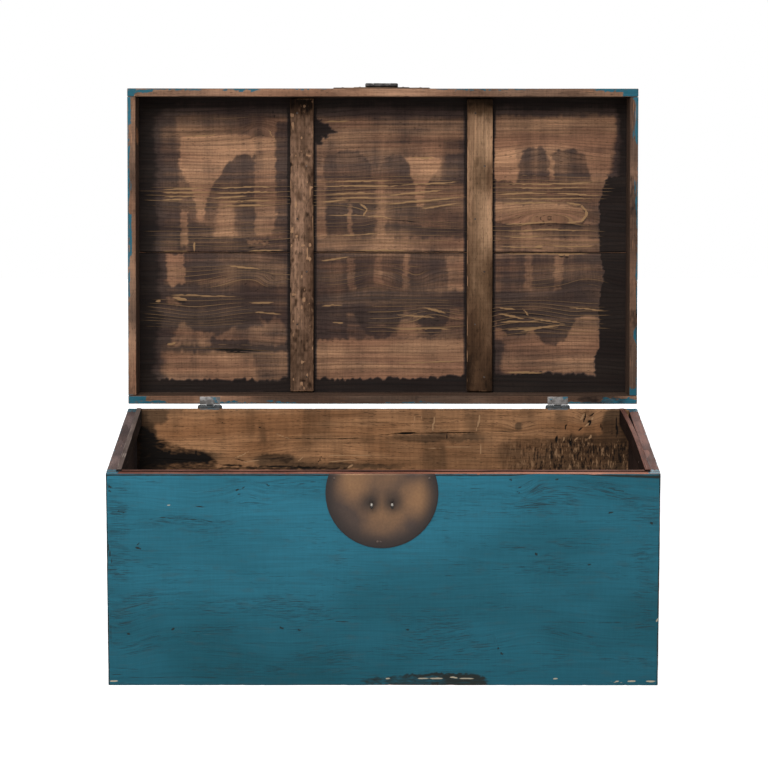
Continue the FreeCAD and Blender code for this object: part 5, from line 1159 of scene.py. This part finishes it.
# Each with the width of its rounded corners in mm.
for node, material, width in (
        ("left_hinge_base_leaf", steel, 0.4), ("right_hinge_base_leaf", steel, 0.4),
        ("left_hinge_lid_leaf", steel, 0.4), ("right_hinge_lid_leaf", steel, 0.4),
        ("left_hinge_pin", steel, 0.2), ("right_hinge_pin", steel, 0.2),
        ("left_lock_eye", eye_iron, 0.5), ("right_lock_eye", eye_iron, 0.5),
        ("hasp_bracket", dark_iron, 0.35), ("hasp_pin", dark_iron, 0.2), ("hasp_strap", dark_iron, 0.6)):
    forged = frame["nodes"][node].copy()
    forged.data = frame["nodes"][node].data.copy()
    forged.name = f"{node}_piece"
    for key in list(forged.keys()):
        del forged[key]
    forged.parent = None
    scene.collection.objects.link(forged)
    merge = forged.modifiers.new("merge", "WELD")
    merge.merge_threshold = 0.00001
    flats = forged.modifiers.new("flats", "DECIMATE")
    flats.decimate_type = "DISSOLVE"
    flats.angle_limit = math.radians(1)
    rounding = forged.modifiers.new("rounding", "BEVEL")
    rounding.width = width / 1000
    rounding.segments = 3
    rounding.angle_limit = math.radians(38)
    evaluated = forged.evaluated_get(bpy.context.evaluated_depsgraph_get())
    rounded = bpy.data.meshes.new_from_object(evaluated)
    forged.modifiers.clear()
    forged.data = rounded
    rounded.name = f"{node}_piece"
    rounded.shade_smooth()
    rounded.set_sharp_from_angle(angle=math.radians(40))
    rounded.materials.clear()
    rounded.materials.append(material)
    body = next(name for name, nodes in frame["record"]["behaviour"]["bodies"].items() if node in nodes)
    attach(forged, body)
    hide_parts(node)


# ---------------------------------------------------------------------------------------------
# Nails
# Wrought iron nails with low hammered heads, each a little different, driven through battens, leaves and
# plates. The nails of the strips, and the long ones that hold the boards and are sunk out of sight, keep
# their drawn shape.
# ---------------------------------------------------------------------------------------------
# Browned by damp: warmer and duller than the oiled iron.
HEAD_HEIGHT = 0.0009
nail_iron = iron_finish("browned nail iron", "6A5A50", "332A26", 0.0, 0.5, 0.5)

nail_tree = bpy.data.node_groups.new("wrought nails", "GeometryNodeTree")
nail_inputs = {}
for label, kind, start in (
        ("Places", "Geometry", None), ("Head radius", "Float", 0.0023), ("Head height", "Float", HEAD_HEIGHT),
        ("Shank radius", "Float", 0.0009), ("Length", "Float", 0.013), ("Seed", "Int", 5),
        ("Iron", "Material", None)):
    socket = nail_tree.interface.new_socket(label, in_out="INPUT", socket_type="NodeSocket" + kind)
    if start is not None:
        socket.default_value = start
    nail_inputs[label] = socket.identifier
nail_tree.interface.new_socket("Nails", in_out="OUTPUT", socket_type="NodeSocketGeometry")
given = nail_tree.nodes.new("NodeGroupInput").outputs
nail_node = partial(add_node, nail_tree)
crown_radius = nail_node("Math", (given["Head radius"], 0.6), **TIMES)
point_radius = nail_node("Math", (given["Shank radius"], 0.35), **TIMES)
head = nail_node("GeometryNodeMeshCone", {
    "Vertices": 9, "Side Segments": 2, "Fill Segments": 2, "Radius Top": crown_radius,
    "Radius Bottom": given["Head radius"], "Depth": given["Head height"]})
shank = nail_node("GeometryNodeMeshCone", {
    "Vertices": 6, "Radius Top": given["Shank radius"], "Radius Bottom": point_radius,
    "Depth": given["Length"]})
drop = nail_node("CombineXYZ", {"Z": nail_node("Math", (given["Length"], -1.0), **TIMES)})
lowered = nail_node("GeometryNodeTransform", {"Geometry": shank, "Translation": drop})
one_nail = nail_node("GeometryNodeJoinGeometry", (head,))
nail_tree.links.new(lowered, one_nail.node.inputs[0])
out_way = nail_node("GeometryNodeInputNamedAttribute", {"Name": "way"}, "Attribute", data_type="FLOAT_VECTOR")
facing = nail_node("FunctionNodeAlignRotationToVector", {"Vector": out_way}, axis="Z")
spin = nail_node("FunctionNodeRandomValue", {"Min": (-0.06, -0.06, 0.0), "Max": (0.06, 0.06, 6.28),
                                             "Seed": given["Seed"]}, "Value", data_type="FLOAT_VECTOR")
turned = nail_node("FunctionNodeRotateRotation", {"Rotation": facing, "Rotate By": spin},
                   rotation_space="LOCAL")
girth = nail_node("FunctionNodeRandomValue", {"Min": (0.88, 0.88, 0.8), "Max": (1.0, 1.0, 1.0),
                                              "Seed": given["Seed"]}, "Value", data_type="FLOAT_VECTOR")
driven = nail_node("GeometryNodeInstanceOnPoints", {
    "Points": given["Places"], "Instance": one_nail, "Rotation": turned, "Scale": girth})
real = nail_node("GeometryNodeRealizeInstances", (driven,))
browned = nail_node("GeometryNodeSetMaterial", {"Geometry": real, "Material": given["Iron"]})
nail_node("NodeGroupOutput", (browned,))


def nail_places(node, inward):
    """The middle of each nail's crown in a CAD group. Corners within 6.2 mm of the outermost one that is
    left, as seen along the nails, belong to one nail."""
    corners = np.array([vertex.co for vertex in frame["nodes"][node].data.vertices])
    places = []
    left = np.ones(len(corners), bool)
    depth = corners @ inward
    while left.any():
        first = np.flatnonzero(left)[np.argmin(depth[left])]
        sideways = corners - corners[first]
        sideways -= np.outer(sideways @ inward, inward)
        same = left & (np.linalg.norm(sideways, axis=1) < 0.0062)
        crown = corners[same & (depth < depth[same].min() + 0.00005)]
        places.append(crown.mean(0))
        left &= ~same
    return np.array(places)


lid_turn = np.array(lid_place)[:3, :3]
for node, inward, length, body in (
        ("batten_nails", lid_turn @ (0, 0, 1), 0.023, "lid"),
        ("lid_hinge_nails", lid_turn @ (0, 0, 1), 0.013, "lid"),
        ("upper_plate_nails", lid_turn @ (0, 1, 0), 0.013, "lid"),
        ("hasp_bracket_nails", lid_turn @ (0, 1, 0), 0.013, "lid"),
        ("base_hinge_nails", np.array((0, 0, -1.0)), 0.013, "chest"),
        ("lower_plate_nails", np.array((0, 1.0, 0)), 0.013, "chest")):
    crowns = nail_places(node, inward)
    cloud_mesh = bpy.data.meshes.new(f"{node}_places")
    cloud_mesh.from_pydata((crowns + inward * HEAD_HEIGHT).tolist(), [], [])
    ways = cloud_mesh.attributes.new("way", "FLOAT_VECTOR", "POINT")
    ways.data.foreach_set("vector", np.tile(-inward, len(crowns)).astype(np.float32))
    holder = bpy.data.objects.new(f"{node}_places", cloud_mesh)
    scene.collection.objects.link(holder)
    made = holder.modifiers.new("nails", "NODES")
    made.node_group = nail_tree
    made[nail_inputs["Length"]] = length
    made[nail_inputs["Seed"]] = len(crowns)
    made[nail_inputs["Iron"]] = nail_iron
    nails = bpy.data.meshes.new_from_object(holder.evaluated_get(bpy.context.evaluated_depsgraph_get()))
    bpy.data.objects.remove(holder)
    piece = bpy.data.objects.new(f"{node}_piece", nails)
    nails.name = f"{node}_piece"
    scene.collection.objects.link(piece)
    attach(piece, body)
    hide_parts(node)

for node in ("carcass_nails", "bottom_nails", "strip_nails", "lid_frame_nails", "lid_top_nails"):
    nail_mesh = frame["nodes"][node].data
    nail_mesh.materials.clear()
    nail_mesh.materials.append(nail_iron)
